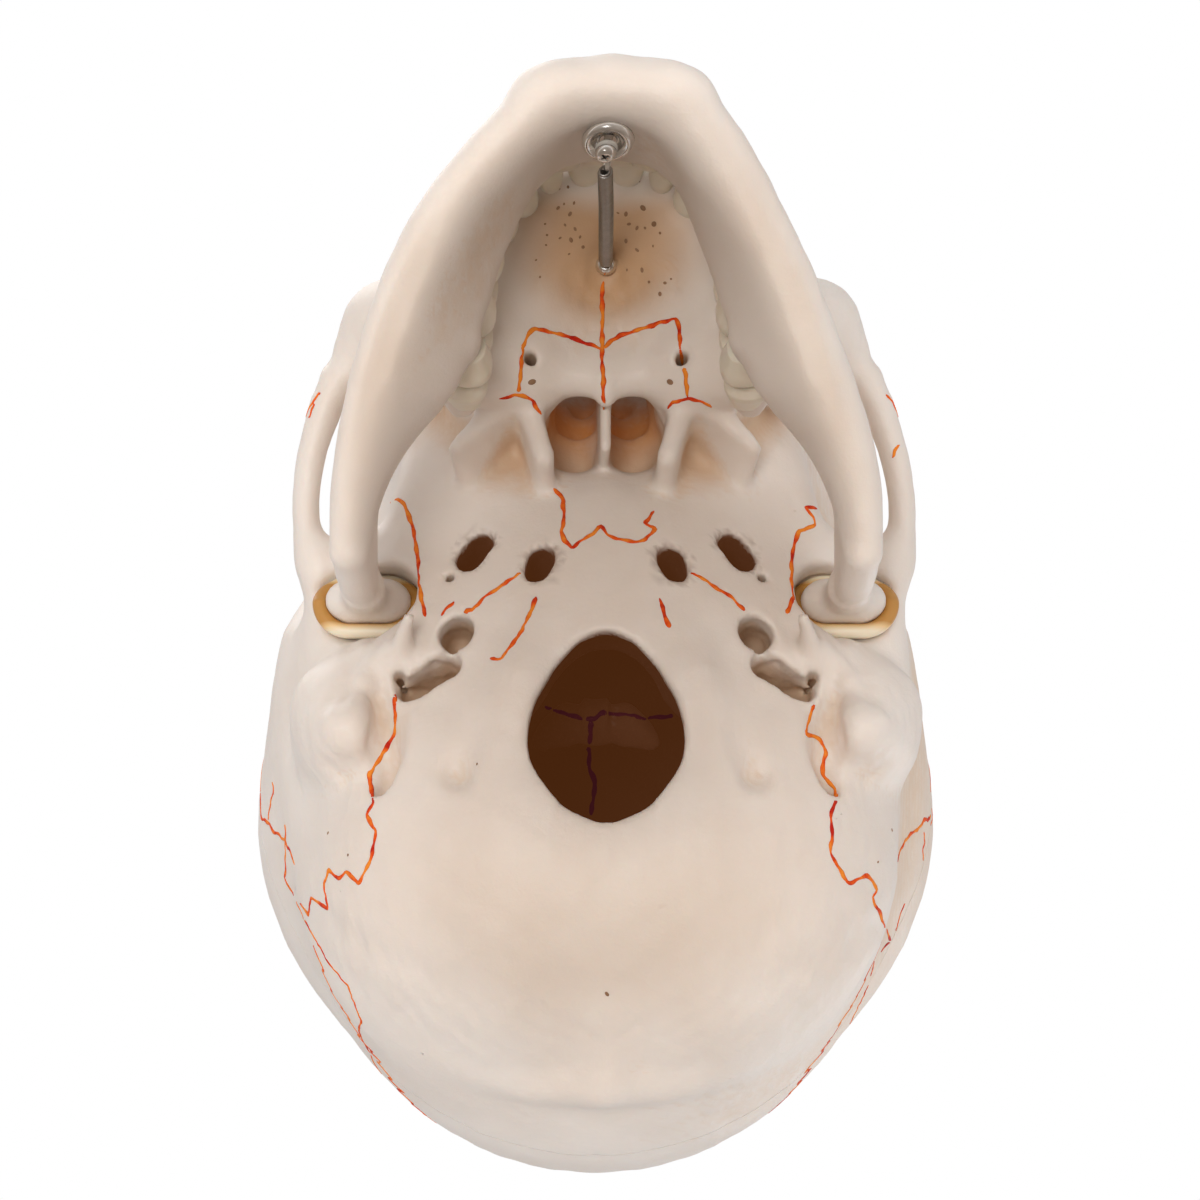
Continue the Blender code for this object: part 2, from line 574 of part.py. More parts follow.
def sculpt_skull():
    """Base and cap as one moulding, before the cap is sawn off."""
    clay = Clay(*(place(corner) for corner in SKULL_REACH_SHARES))
    for centre, halves in VAULT_SHARES + LOBE_SHARES:
        clay.add(Ellipsoid(place(centre), spread(halves), seam=MIDLINE_SEAM), VAULT_BLEND)
    centre, halves = TEMPLE_HOLLOW_SHARES
    clay.cut(Ellipsoid(place(centre), spread(halves)), FACE_BLEND)
    for centre, halves in FACE_BALL_SHARES:
        clay.add(Ellipsoid(place(centre), spread(halves)), FACE_BLEND)
    for shares in (BROW_SHARES, LATERAL_RIM_SHARES, LOWER_RIM_SHARES, NOSE_SIDE_SHARES, BETWEEN_EYES_SHARES,
                   CHEEK_SHARES, SPHENOID_SHARES, PETROUS_SHARES, MASTOID_SHARES, TYMPANIC_SHARES,
                   TUBERCLE_SHARES, CONDYLE_BASE_SHARES, SPINE_SHARES):
        clay.add(rod(shares), FACE_BLEND)
    add_sheet(clay, NOSE_SIDE_SHARES[1:], NASAL_BONE_SHARES, CUT_BLEND, 4)
    add_sheet(clay, EYE_WALL_LOW_SHARES, EYE_WALL_TOP_SHARES, CUT_BLEND, 5)
    clay.add(rod(ARCH_SHARES, flat=0.68), FACE_BLEND)
    centre, halves = PALATE_SHARES
    clay.add(Box(place(centre), spread(halves), rounding=ORBIT_ROOF), FACE_BLEND)
    clay.add(upper_ridge(), FACE_BLEND)
    clay.hollow(brain(clay), CUT_BLEND)
    for socket in ORBIT_SHARES:
        clay.cut(rod(socket), CUT_BLEND)
    centre, halves = CANINE_HOLLOW_SHARES
    clay.cut(Ellipsoid(place(centre), spread(halves)), FACE_BLEND)
    clay.cut(rod(EAR_HOLE_SHARES), CUT_BLEND)
    for way in NASAL_WAY_SHARES:
        clay.cut(rod(way), CUT_BLEND)
    for front, back in (LATERAL_PLATE_SHARES, MEDIAL_PLATE_SHARES):
        radius = PLATE / 2 / FACE_BREADTH
        add_sheet(clay, [(*share, radius) for share in front], [(*share, radius) for share in back], CUT_BLEND, 6)
    outline = [place((side, forward, 0))[:2] for side, forward in FORAMEN_MAGNUM_SHARES]
    outline += [point * (-1, 1) for point in outline[-2:0:-1]]
    clay.cut(Well(outline, *(height * FACE_DROP for height in FORAMEN_DEPTH_SHARES)), CUT_BLEND)
    for hole in (OVALE_SHARES, LACERUM_SHARES):
        clay.cut(rod(hole), HOLE_BLEND)
    hinge = place(HINGE_SHARE)
    seat = CONDYLE_RADIUS + GAP + DISC_WALL + GAP
    ends = [end * FACE_BREADTH for end in CONDYLE_ENDS_SHARE]
    clay.cut(Rod([(ends[0], *hinge[1:], seat), (ends[1], *hinge[1:], seat)]), CUT_BLEND)
    swings = 6
    for step in range(swings + 1):
        turn = np.array(Matrix.Rotation(JAW_OPENING * step / swings, 3, "X"))
        neck = rod(NECK_SHARES)
        path = []
        for point, radius in zip(neck.points, neck.radii):
            path.append((*(turn @ (point - hinge) + hinge), radius + NECK_ROOM))
        clay.cut(Rod(path), CUT_BLEND)
    return clay


def sculpt_jaw():
    clay = Clay(*(place(corner) for corner in JAW_REACH_SHARES))
    add_sheet(clay, JAW_EDGE_SHARES, JAW_RIDGE_SHARES, JAW_BLEND, 5)
    add_sheet(clay, RAMUS_BACK_SHARES, RAMUS_FRONT_SHARES, JAW_BLEND, 6)
    for shares in (NECK_SHARES, CORONOID_SHARES):
        clay.add(rod(shares), JAW_BLEND)
    for centre, halves in CHIN_SHARES:
        clay.add(Ellipsoid(place(centre), spread(halves)), JAW_BLEND)
    hinge = place(HINGE_SHARE)
    inset = CONDYLE_RADIUS / FACE_BREADTH
    ends = [(CONDYLE_ENDS_SHARE[0] + inset) * FACE_BREADTH, (CONDYLE_ENDS_SHARE[1] - inset) * FACE_BREADTH]
    clay.add(Rod([(end, *hinge[1:], CONDYLE_RADIUS) for end in ends]), CUT_BLEND)
    return clay


# Cap and rim
def cap_frame():
    """The sawn plane of the cap, with Z along the way the cap lifts off."""
    slope = CAP_SLOPE_SHARE * FACE_DROP / BASE_LENGTH
    return frame_along(place(CAP_PLANE_SHARE), (0, slope, 1))


def block(name, low, high, placing):
    """A box between two corners."""
    work = bmesh.new()
    bmesh.ops.create_cube(work, size=1)
    size = Vector(high) - Vector(low)
    middle = (Vector(high) + Vector(low)) / 2
    work.transform(placing @ Matrix.Translation(middle) @ Matrix.Diagonal(size).to_4x4())
    return new_object(name, work)


def saw_cap(skull):
    """Split the skull at the cap plane; the skull's lower part stays."""
    cap = skull.copy()
    cap.data = skull.data.copy()
    cap.name = "calvarium"
    bpy.context.scene.collection.objects.link(cap)
    plane = cap_frame()
    lift = plane.to_3x3().col[2]
    slice_off(skull, plane.translation - lift * GAP / 2, lift)
    slice_off(cap, plane.translation + lift * GAP / 2, -lift)
    return cap


def rim_middle(skull, bearing):
    """Where the middle of the wall meets the cap plane, at a bearing from the brow to the left."""
    plane = cap_frame()
    angle = math.radians(bearing)
    ahead = plane.to_3x3() @ Vector((math.sin(angle), math.cos(angle), 0))
    _, inner, _, _ = skull.ray_cast(plane.translation, ahead)
    _, outer, _, _ = skull.ray_cast(inner + ahead * GAP, ahead)
    return (inner + outer) / 2


def fasten_cap(base, cap, spots):
    """Steel dowels that place the cap and magnet pairs that hold it."""
    axis = cap_frame().to_3x3().col[2]
    pieces = []
    for name, spot in spots["pin"]:
        placing = frame_along(spot, axis)
        pieces.append(cylinder(name, PIN_RADIUS, -PIN_DEPTH, PIN_RISE, placing, 12))
        room = PIN_RADIUS + GAP
        cut_away(base, cylinder("room", room, -PIN_DEPTH - GAP, OVERRUN, placing, 12))
        cut_away(cap, cylinder("room", room, -OVERRUN, PIN_RISE + GAP, placing, 12))
    for name, spot in spots["magnet"]:
        placing = frame_along(spot, axis)
        half = GAP / 2
        room = MAGNET_RADIUS + GAP
        deep = half + MAGNET_HEIGHT
        pieces.append(cylinder("base_" + name, MAGNET_RADIUS, -deep, -half, placing))
        pieces.append(cylinder("cap_" + name, MAGNET_RADIUS, half, deep, placing))
        cut_away(base, cylinder("room", room, -deep - GAP, OVERRUN, placing))
        cut_away(cap, cylinder("room", room, -OVERRUN, deep + GAP, placing))
    return pieces


# Jaw joint
def arc_shell(name, inner, outer, span, start, end, steps=12):
    """A length of half pipe about the hinge line, open below, from start to end along X."""
    hinge = place(HINGE_SHARE)
    work = bmesh.new()
    walls = []
    for side in (start, end):
        rows = []
        for radius in (inner, outer):
            row = []
            for step in range(steps + 1):
                angle = span * (step / steps - 1 / 2)
                row.append(work.verts.new((side, hinge[1] + radius * math.sin(angle),
                                           hinge[2] + radius * math.cos(angle))))
            rows.append(row)
        walls.append(rows)
    (near_in, near_out), (far_in, far_out) = walls
    for step in range(steps):
        for first, second in ((near_in, near_out), (near_out, far_out), (far_out, far_in), (far_in, near_in)):
            work.faces.new((first[step], first[step + 1], second[step + 1], second[step]))
    for step in (0, steps):
        work.faces.new((near_in[step], near_out[step], far_out[step], far_in[step]))
    return new_object(name, work)


def set_joint_discs(base, jaw):
    """The soft discs between the condyles and their sockets."""
    inner = CONDYLE_RADIUS + GAP
    outer = inner + DISC_WALL
    discs = []
    for name, sign in (("joint_disc_left", 1), ("joint_disc_right", -1)):
        start, end = (sign * share * FACE_BREADTH for share in CONDYLE_ENDS_SHARE)
        inset = sign * GAP
        discs.append(arc_shell(name, inner, outer, DISC_SPAN, start + inset, end - inset))
        seat = DISC_SPAN + 2 * (JAW_OPENING + DISC_MARGIN)
        cut_away(jaw, arc_shell("room", CONDYLE_RADIUS, outer + OVERRUN, seat, start - inset, end + inset))
        cut_away(base, arc_shell("room", CONDYLE_RADIUS, outer + GAP, seat, start, end))
    return discs


# Teeth: (height share, width share, depth share, lean share) from the tip of the peg to the bite
INCISOR_SHARES = ((-1.0, 0.30, 0.36, 0.0), (0.0, 0.70, 0.86, 0.0), (0.40, 0.94, 1.00, 0.02), (1.0, 1.00, 0.26, 0.10))
LOWER_INCISOR_SHARES = ((-1.0, 0.30, 0.36, 0.0), (0.0, 0.70, 0.86, 0.0), (0.40, 0.94, 0.94, -0.02),
                        (1.0, 1.00, 0.26, -0.10))
CANINE_SHARES = ((-1.0, 0.34, 0.40, 0.0), (0.0, 0.74, 0.90, 0.0), (0.45, 1.00, 1.00, 0.02), (0.78, 0.86, 0.62, 0.06),
                 (1.0, 0.22, 0.22, 0.08))
PREMOLAR_SHARES = ((-1.0, 0.36, 0.46, 0.0), (0.0, 0.74, 0.82, 0.0), (0.45, 1.00, 1.00, 0.0),
                   (0.82, 0.92, 0.84, 0.0), (1.0, 0.50, 0.50, 0.0))
MOLAR_SHARES = ((-1.0, 0.50, 0.56, 0.0), (0.0, 0.82, 0.86, 0.0), (0.40, 1.00, 1.00, 0.0),
                (0.84, 0.94, 0.88, 0.0), (1.0, 0.66, 0.60, 0.0))
# name, form, width share of the row, depth and crown height shares
UPPER_TEETH_SHARES = (
    ("central_incisor", INCISOR_SHARES, 0.130, 0.070, 0.105), ("lateral_incisor", INCISOR_SHARES, 0.102, 0.062, 0.095),
    ("canine", CANINE_SHARES, 0.116, 0.081, 0.102), ("first_premolar", PREMOLAR_SHARES, 0.107, 0.090, 0.086),
    ("second_premolar", PREMOLAR_SHARES, 0.103, 0.090, 0.080), ("first_molar", MOLAR_SHARES, 0.157, 0.110, 0.076),
    ("second_molar", MOLAR_SHARES, 0.149, 0.108, 0.072), ("third_molar", MOLAR_SHARES, 0.136, 0.098, 0.066),
)
LOWER_TEETH_SHARES = (
    ("central_incisor", LOWER_INCISOR_SHARES, 0.082, 0.060, 0.088),
    ("lateral_incisor", LOWER_INCISOR_SHARES, 0.092, 0.063, 0.090),
    ("canine", CANINE_SHARES, 0.108, 0.078, 0.102), ("first_premolar", PREMOLAR_SHARES, 0.110, 0.077, 0.086),
    ("second_premolar", PREMOLAR_SHARES, 0.111, 0.080, 0.080), ("first_molar", MOLAR_SHARES, 0.172, 0.100, 0.075),
    ("second_molar", MOLAR_SHARES, 0.166, 0.098, 0.070), ("third_molar", MOLAR_SHARES, 0.159, 0.092, 0.066),
)
ROW_BACK_SHARE = 0.47               # forward place where each row ends
TOOTH_SIDES = 8
TOOTH_FULLNESS_SHARE = 0.80         # below 1 the teeth are squarer than an ellipse


def tooth(name, form, width, depth, crown, root, placing, swell=0.0):
    """A crown with its peg: rings from the tip of the peg to the bite, along Z."""
    work = bmesh.new()
    rings = []
    for height, wide, deep, lean in form:
        ring = []
        for index in range(TOOTH_SIDES):
            angle = 2 * math.pi * (index + 1 / 2) / TOOTH_SIDES
            across = math.copysign(abs(math.cos(angle)) ** TOOTH_FULLNESS_SHARE, math.cos(angle))
            out = math.copysign(abs(math.sin(angle)) ** TOOTH_FULLNESS_SHARE, math.sin(angle))
            rise = height * (root if height < 0 else crown)
            if height < 0:
                rise -= swell
            ring.append(work.verts.new(((width / 2 * wide + swell) * across,
                                        (depth / 2 * deep + swell) * out + lean * depth, rise)))
        rings.append(ring)
    for lower, upper in zip(rings, rings[1:]):
        for index in range(TOOTH_SIDES):
            after = (index + 1) % TOOTH_SIDES
            work.faces.new((lower[index], lower[after], upper[after], upper[index]))
    work.faces.new(rings[0])
    work.faces.new(rings[-1])
    work.transform(placing)
    return new_object(name, work)


def row_line(arch):
    """The half arch as far back as its last tooth, with the length run at each point."""
    points = []
    for point in arch_line(arch):
        back = ROW_BACK_SHARE * BASE_LENGTH
        if points and point[1] < back:
            part = (points[-1][1] - back) / (points[-1][1] - point[1])
            points.append(points[-1] + part * (point - points[-1]))
            break
        points.append(point)
    lengths = [0.0]
    for start, end in zip(points, points[1:]):
        lengths.append(lengths[-1] + float(np.linalg.norm(end - start)))
    return points, lengths


def set_teeth(carrier, row, arch, table, pointing):
    """One row of teeth in its sockets; pointing is -1 where the crowns hang down."""
    points, lengths = row_line(arch)
    sides = [point[0] for point in points]
    forwards = [point[1] for point in points]
    run = 0.0
    total = sum(entry[2] for entry in table)
    teeth = []
    for kind, form, wide, deep, tall in table:
        width = wide / total * lengths[-1]
        near, middle, far = (run + width * part for part in (0.25, 0.5, 0.75))
        run += width
        spots = [(np.interp(at, lengths, sides), np.interp(at, lengths, forwards)) for at in (near, middle, far)]
        ahead = np.array(spots[2]) - np.array(spots[0])
        crown = tall * FACE_DROP
        edge = bite_height(spots[1][1]) - pointing * BITE_GAP / 2
        if form is INCISOR_SHARES:
            edge += OVERBITE * (-1 if pointing < 0 else 0)
        for side_name, sign in (("left", 1), ("right", -1)):
            along = Vector((sign * ahead[0], -ahead[1], 0)).normalized()
            up = Vector((0, 0, pointing))
            out = up.cross(along)
            away = Vector((sign * spots[1][0], -spots[1][1] + forwards[-1], 0))
            if out.dot(away) < 0:
                along = -along
                out = -out
            turn = Matrix((along, out, up)).transposed().to_4x4()
            neck = edge - pointing * crown
            placing = Matrix.Translation((sign * spots[1][0], -spots[1][1], neck)) @ turn
            name = f"{row}_{side_name}_{kind}"
            sizes = (form, width - TOOTH_GAP, deep * FACE_BREADTH, crown, TOOTH_ROOT, placing)
            cut_away(carrier, tooth("room", *sizes, swell=GAP))
            teeth.append(tooth(name, *sizes))
    keep_largest(carrier)
    return teeth


# Jaw spring and its fixings
CHIN_SEAT_SHARE = (0.0, 0.0, -0.895)
CHIN_SCREW_TILT = math.radians(16)  # below level, facing the throat
PALATE_SEAT_SHARE = (0.0, 0.815, -0.6)


def first_hit(item, start, ahead):
    """Where a line from a place on the midline meets an object, sighted just beside the midline."""
    _, spot, _, _ = item.ray_cast(Vector(start) + Vector((GAP, 0, 0)), Vector(ahead))
    spot.x = start[0]
    return spot


def screw(name, placing, head_at):
    """A pan-head screw along Z, its thread below the seat at height zero."""
    head = SCREW_HEAD_RADIUS
    tall = SCREW_HEAD_HEIGHT
    profile = ((0, -SCREW_GRIP), (SCREW_SHANK_RADIUS, -SCREW_GRIP + SCREW_SHANK_RADIUS),
               (SCREW_SHANK_RADIUS, head_at), (head, head_at), (head, head_at + tall * 0.45),
               (head * 0.72, head_at + tall * 0.88), (0, head_at + tall))
    return turned(name, profile, placing, 14)


def screw_room(item, radius, seat, placing, sides):
    """Cut a flat seat at a height with the hole for a screw below it."""
    hole = SCREW_SHANK_RADIUS + GAP
    bottom = -SCREW_GRIP - GAP
    profile = ((0, bottom), (hole, bottom), (hole, seat), (radius + GAP, seat), (radius + GAP, seat + 2 * OVERRUN),
               (0, seat + 2 * OVERRUN))
    cut_away(item, turned("room", profile, placing, sides))


def spring_route(start, end):
    """Points along a coil from start to end, drawn in to its axis at both ends."""
    start = Vector(start)
    end = Vector(end)
    axis = (end - start).normalized()
    placing = frame_along(start, axis)
    length = (end - start).length
    lead = 2 * SPRING_WIRE
    turns = round((length - 2 * lead) / SPRING_PITCH)
    steps = turns * 8
    points = [Vector((0, 0, 0)), Vector((0, 0, SPRING_WIRE))]
    for step in range(steps + 1):
        angle = 2 * math.pi * step / 8
        inset = min(step, steps - step, 8) / 8
        radius = SPRING_RADIUS * math.sin(inset * math.pi / 2)
        height = lead + (length - 2 * lead) * step / steps
        points.append(Vector((radius * math.cos(angle), radius * math.sin(angle), height)))
    points += [Vector((0, 0, length - SPRING_WIRE)), Vector((0, 0, length))]
    return [placing @ point for point in points]


def least_gap(points, wire, apart=6):
    """The least gap of a wound wire to itself, away from its own neighbours."""
    least = math.inf
    for index, point in enumerate(points):
        for other in points[index + apart:index + 5 * apart]:
            least = min(least, (point - other).length - wire)
    return least


def wire(name, points, thickness):
    """A round wire along points."""
    curve = bpy.data.curves.new(name, "CURVE")
    curve.dimensions = "3D"
    curve.bevel_depth = thickness / 2
    curve.bevel_resolution = 1
    curve.use_fill_caps = True
    spline = curve.splines.new("POLY")
    spline.points.add(len(points) - 1)
    for knot, point in zip(spline.points, points):
        knot.co = (*point, 1)
    item = bpy.data.objects.new(name, curve)
    bpy.context.scene.collection.objects.link(item)
    return item


def link_piece(placing, height):
    """A flat eye round the chin screw with a tail that holds the spring."""
    eye = SCREW_SHANK_RADIUS + GAP
    rim = eye + LINK_WIRE
    ring = turned("spring_link", ((eye, height), (rim, height), (rim, height + LINK_WIRE), (eye, height + LINK_WIRE)),
                  placing)
    tail = block("tail", (-LINK_WIRE / 2, -LINK_LENGTH, height), (LINK_WIRE / 2, -eye - LINK_WIRE / 2,
                                                                   height + LINK_WIRE), placing)
    join = ring.modifiers.new("Join", "BOOLEAN")
    join.operation = "UNION"
    join.object = tail
    apply_modifiers(ring)
    bpy.data.objects.remove(tail)
    return ring


def fit_spring(base, jaw):
    """The spring that holds the jaw shut, between a screw in the palate and one in the chin."""
    facing = Vector((0, math.cos(CHIN_SCREW_TILT), -math.sin(CHIN_SCREW_TILT)))
    chin = first_hit(jaw, place(CHIN_SEAT_SHARE), (0, -1, 0)) - facing * CUP_SINK
    placing = frame_along(chin, facing, (0, 0, 1))
    screw_room(jaw, CUP_RADIUS, 0, placing, 20)
    cup = turned("chin_cup_washer", (
        (CUP_HOLE_RADIUS, GAP), (CUP_RADIUS, GAP), (CUP_RADIUS, GAP + CUP_HEIGHT * 0.3),
        (CUP_RADIUS * 0.72, GAP + CUP_HEIGHT), (CUP_RADIUS * 0.52, GAP + CUP_HEIGHT * 0.9),
        (CUP_HOLE_RADIUS, GAP + CUP_HEIGHT * 0.4)), placing, 20)
    link_at = GAP + CUP_HEIGHT + GAP
    chin_screw = screw("chin_screw", placing, link_at + LINK_WIRE + GAP)
    link = link_piece(placing @ Matrix.Rotation(math.pi, 4, "Z"), link_at)
    roof = first_hit(base, place(PALATE_SEAT_SHARE), (0, 0, 1))
    palate = frame_along(roof, (0, 0, -1))
    screw_room(base, SCREW_HEAD_RADIUS, -GAP, palate, 14)
    palate_screw = screw("palate_screw", palate, 0)
    tail = placing @ Vector((0, LINK_LENGTH, link_at + LINK_WIRE / 2))
    top = palate @ Vector((0, 0, SCREW_HEAD_HEIGHT))
    ahead = (top - tail).normalized()
    route = spring_route(tail + ahead * 2 * GAP, top - ahead * GAP)
    print(f"jaw spring: least gap {least_gap(route, SPRING_WIRE) * 1000:.2f} mm to itself")
    spring = wire("jaw_spring", route, SPRING_WIRE)
    return [palate_screw, spring], [cup, chin_screw, link]


# Standing on a table
def world_points(items):
    graph = bpy.context.evaluated_depsgraph_get()
    points = []
    for item in items:
        shown = item.evaluated_get(graph)
        mesh = shown.to_mesh()
        spots = np.empty(3 * len(mesh.vertices))
        mesh.vertices.foreach_get("co", spots)
        turn = np.array(shown.matrix_world)
        points.append(spots.reshape(-1, 3) @ turn[:3, :3].T + turn[:3, 3])
        shown.to_mesh_clear()
    return np.concatenate(points)


def lowest(points, tilt):
    """Height of the lowest point once the skull is tipped back."""
    return (points[:, 2] * math.cos(tilt) - points[:, 1] * math.sin(tilt)).min()


def resting_tilt(jaw, base):
    """How far the skull tips back before the back of the head meets the table."""
    jaw_points = world_points([jaw])
    base_points = world_points([base])
    least, most = 0.0, math.pi / 4
    for _ in range(40):
        middle = (least + most) / 2
        if lowest(jaw_points, middle) < lowest(base_points, middle):
            least = middle
        else:
            most = middle
    return middle, lowest(base_points, middle)


def hang_on(parent, items):
    """Parent pieces so that they stay where they are."""
    bpy.context.view_layer.update()
    for item in items:
        item.parent = parent
        item.matrix_parent_inverse = parent.matrix_world.inverted()


def empty(name, spot):
    item = bpy.data.objects.new(name, None)
    item.location = spot
    bpy.context.scene.collection.objects.link(item)
    return item


def stand_on_table(base, jaw, root):
    """Tip the skull back, set it down and flatten what it stands on."""
    tilt, height = resting_tilt(jaw, base)
    root.rotation_euler.x = -tilt
    root.location.z = -height - TABLE_FLAT
    bpy.context.view_layer.update()
    meshes = [item for item in bpy.data.objects if item.type == "MESH"]
    points = world_points(meshes)
    root.location.y = -(points[:, 1].min() + points[:, 1].max()) / 2
    bpy.context.view_layer.update()
    for item in (base, jaw):
        slice_off(item, (0, 0, 0), (0, 0, -1))


# Materials: colour, roughness and metallic value
FINISHES = {
    "bone_plastic": ((0.80, 0.68, 0.55, 1), 0.55, 0.0),
    "tooth_plastic": ((0.86, 0.80, 0.68, 1), 0.30, 0.0),
    "soft_disc": ((0.83, 0.66, 0.38, 1), 0.45, 0.0),
    "steel": ((0.62, 0.61, 0.60, 1), 0.25, 1.0),
    "magnet_nickel": ((0.70, 0.69, 0.66, 1), 0.20, 1.0),
    "clear_link": ((0.80, 0.76, 0.68, 1), 0.35, 0.0),
}


def finish(items, name):
    colour, roughness, metallic = FINISHES[name]
    for item in items:
        material = bpy.data.materials.new(f"{name}_{item.name}")
        material.use_nodes = True
        shader = material.node_tree.nodes["Principled BSDF"]
        shader.inputs["Base Color"].default_value = colour
        shader.inputs["Roughness"].default_value = roughness
        shader.inputs["Metallic"].default_value = metallic
        item.data.materials.clear()
        item.data.materials.append(material)
        if item.type == "MESH":
            item.data.shade_smooth()
            item.data.set_sharp_from_angle(angle=math.radians(50))


def main():
    for item in list(bpy.data.objects):
        bpy.data.objects.remove(item)
    base = sculpt_skull().mesh("cranial_base", SKULL_FACETS)
    jaw = sculpt_jaw().mesh("mandible", JAW_FACETS)
    spots = {"pin": [(f"locating_pin_{name}", rim_middle(base, bearing)) for name, bearing in PIN_BEARINGS],
             "magnet": [(f"magnet_{name}", rim_middle(base, bearing)) for name, bearing in MAGNET_BEARINGS]}
    cap = saw_cap(base)
    fasteners = fasten_cap(base, cap, spots)
    discs = set_joint_discs(base, jaw)
    above, below = fit_spring(base, jaw)
    upper = set_teeth(base, "upper", UPPER_ARCH_SHARE, UPPER_TEETH_SHARES, -1)
    lower = set_teeth(jaw, "lower", LOWER_ARCH_SHARE, LOWER_TEETH_SHARES, 1)

    root = empty("skull", (0, 0, 0))
    hinge = empty("jaw_hinge", place(HINGE_SHARE))
    seat = empty("cap_seat", cap_frame().translation)
    seat.rotation_euler = cap_frame().to_euler()
    cap_magnets = [item for item in fasteners if item.name.startswith("cap_")]
    hang_on(root, [base, *discs, *above, *upper, hinge, seat])
    hang_on(root, [item for item in fasteners if item not in cap_magnets])
    hang_on(seat, [cap, *cap_magnets])
    hang_on(hinge, [jaw, *below, *lower])
    stand_on_table(base, jaw, root)

    finish([base, cap, jaw], "bone_plastic")
    finish(upper + lower, "tooth_plastic")
    finish(discs, "soft_disc")
    finish([above[0], above[1], below[0], below[1], *[item for item in fasteners if "pin" in item.name]], "steel")
    finish([item for item in fasteners if "magnet" in item.name], "magnet_nickel")
    finish([below[2]], "clear_link")


main()
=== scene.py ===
"""An anatomical skull model: sculpted mouldings, painted sutures, sprung jaw and lift-off cap."""

import math

import bmesh
import bpy
import numpy as np
import openvdb
from mathutils import Matrix, Vector
from mathutils.bvhtree import BVHTree
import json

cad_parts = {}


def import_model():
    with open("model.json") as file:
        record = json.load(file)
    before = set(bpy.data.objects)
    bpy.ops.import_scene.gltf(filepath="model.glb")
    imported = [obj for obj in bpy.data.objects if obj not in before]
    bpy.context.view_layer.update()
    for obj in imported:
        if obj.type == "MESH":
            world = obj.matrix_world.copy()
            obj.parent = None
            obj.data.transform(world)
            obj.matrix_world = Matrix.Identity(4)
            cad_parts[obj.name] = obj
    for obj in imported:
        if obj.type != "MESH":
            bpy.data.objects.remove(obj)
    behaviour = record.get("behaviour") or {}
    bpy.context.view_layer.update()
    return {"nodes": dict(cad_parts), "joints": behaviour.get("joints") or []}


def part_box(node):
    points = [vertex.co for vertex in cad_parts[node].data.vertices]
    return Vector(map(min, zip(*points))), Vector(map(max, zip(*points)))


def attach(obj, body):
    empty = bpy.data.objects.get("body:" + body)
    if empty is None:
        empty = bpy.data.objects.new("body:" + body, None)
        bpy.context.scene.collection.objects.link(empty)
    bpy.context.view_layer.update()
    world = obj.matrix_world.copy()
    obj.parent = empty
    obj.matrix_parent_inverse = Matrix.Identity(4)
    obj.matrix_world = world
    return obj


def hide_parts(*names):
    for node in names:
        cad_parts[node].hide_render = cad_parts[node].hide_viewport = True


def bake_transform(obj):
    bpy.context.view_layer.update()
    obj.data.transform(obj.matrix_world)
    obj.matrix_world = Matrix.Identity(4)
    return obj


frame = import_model()

# Frame of the head: side, forward and up shares of 100 mm, hung on the hinge of the jaw
FACE = 0.100
HINGE_SHARE = (0.0, 0.195, -0.095)
CAP_PLANE_SHARE = 0.396
CAP_SLOPE_SHARE = 0.1124
STEP = 0.0008     # spacing of the sculpting grid
MESH_EASE = 0.004            # how much its mesh is thinned where it is flat

# Sculpting
SKULL_WALL = 0.0062
ORBIT_ROOF = 0.0030
PLATE = 0.0020
RIM_WALL = 0.0034
FLARE = 1.25                 # how much wider the foramen magnum is below its rim
FLARE_HEIGHTS = (-0.040, 0.005)
VAULT_BLEND = 0.018
MIDLINE_SEAM = 0.012
FACE_BLEND = 0.006
JAW_BLEND = 0.005
CUT_BLEND = 0.003
HOLE_BLEND = 0.0012
GAP = 0.0003
CONDYLE_RADIUS = 0.0042
CUP_ENDS = (0.0442, 0.0512)
CUP_RADIUS = 0.0055          # to the middle of the soft wall
CUP_WALL = 0.0020
CUP_OPEN = 0.0002            # how far above the hinge line the cup ends at the back
CUP_FRONT_OPEN = 0.0034      # and how much higher in front
CUP_VIEW = 0.0050            # how far below the cup the bone is cleared
CUP_VIEW_BACK = 0.36         # and how far back, as a share of that
LIP_OUT = 0.0007
LIP_RADIUS = 0.0015
NECK_ROOM = 0.0012
NECK_STOPS = 6
SLOT_BORES = 4
CROWN_DRIFT = 0.0021         # how far the crown stands to the right
FACE_DRIFT = 0.0009          # the cheek arches too
JAW_DRIFT = 0.0014           # the body of the jaw too
CHIN_DRIFT = 0.0012          # and the chin to the left
SKULL_RELIEF = (0.00012, (0.016, 0.009, 0.005), 5)      # height, wave lengths and seed
JAW_RELIEF = (0.00010, (0.016, 0.007), 9)
WAVES_EACH = 6
WAVE_BEND = (1.7, 0.618)     # how much and how slowly the waves bend
COARSE_EDGE = 0.006
# How far round each place the painted shade of recesses looks, near and deep
NEAR_SHADE = 0.0032
DEEP_SHADE = 0.0095
# over which the painted shade and glow of the braincase's inside fade in
INNER_SHADE_FADE = 0.0016
FASTENERS = (("locating_pin", 0.0012, 0.0100), ("magnet", 0.0019, 0.0020))       # radius and length
SEAT_SEARCH = (0.80, 1.05, 251)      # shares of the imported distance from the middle, and how many
JAW_OPENING = math.radians(25)
CHIN_SCREW_TILT = math.radians(16)


def joint(name):
    return next(entry for entry in frame["joints"] if entry["name"] == name)


def place(share):
    """Metres in the head's own axes for shares of side, forward and up."""
    return np.array((share[0] * FACE, -share[1] * FACE, share[2] * FACE))


def spread(share):
    return np.array(share) * FACE


def linked(name, data):
    item = bpy.data.objects.new(name, data)
    bpy.context.scene.collection.objects.link(item)
    return item


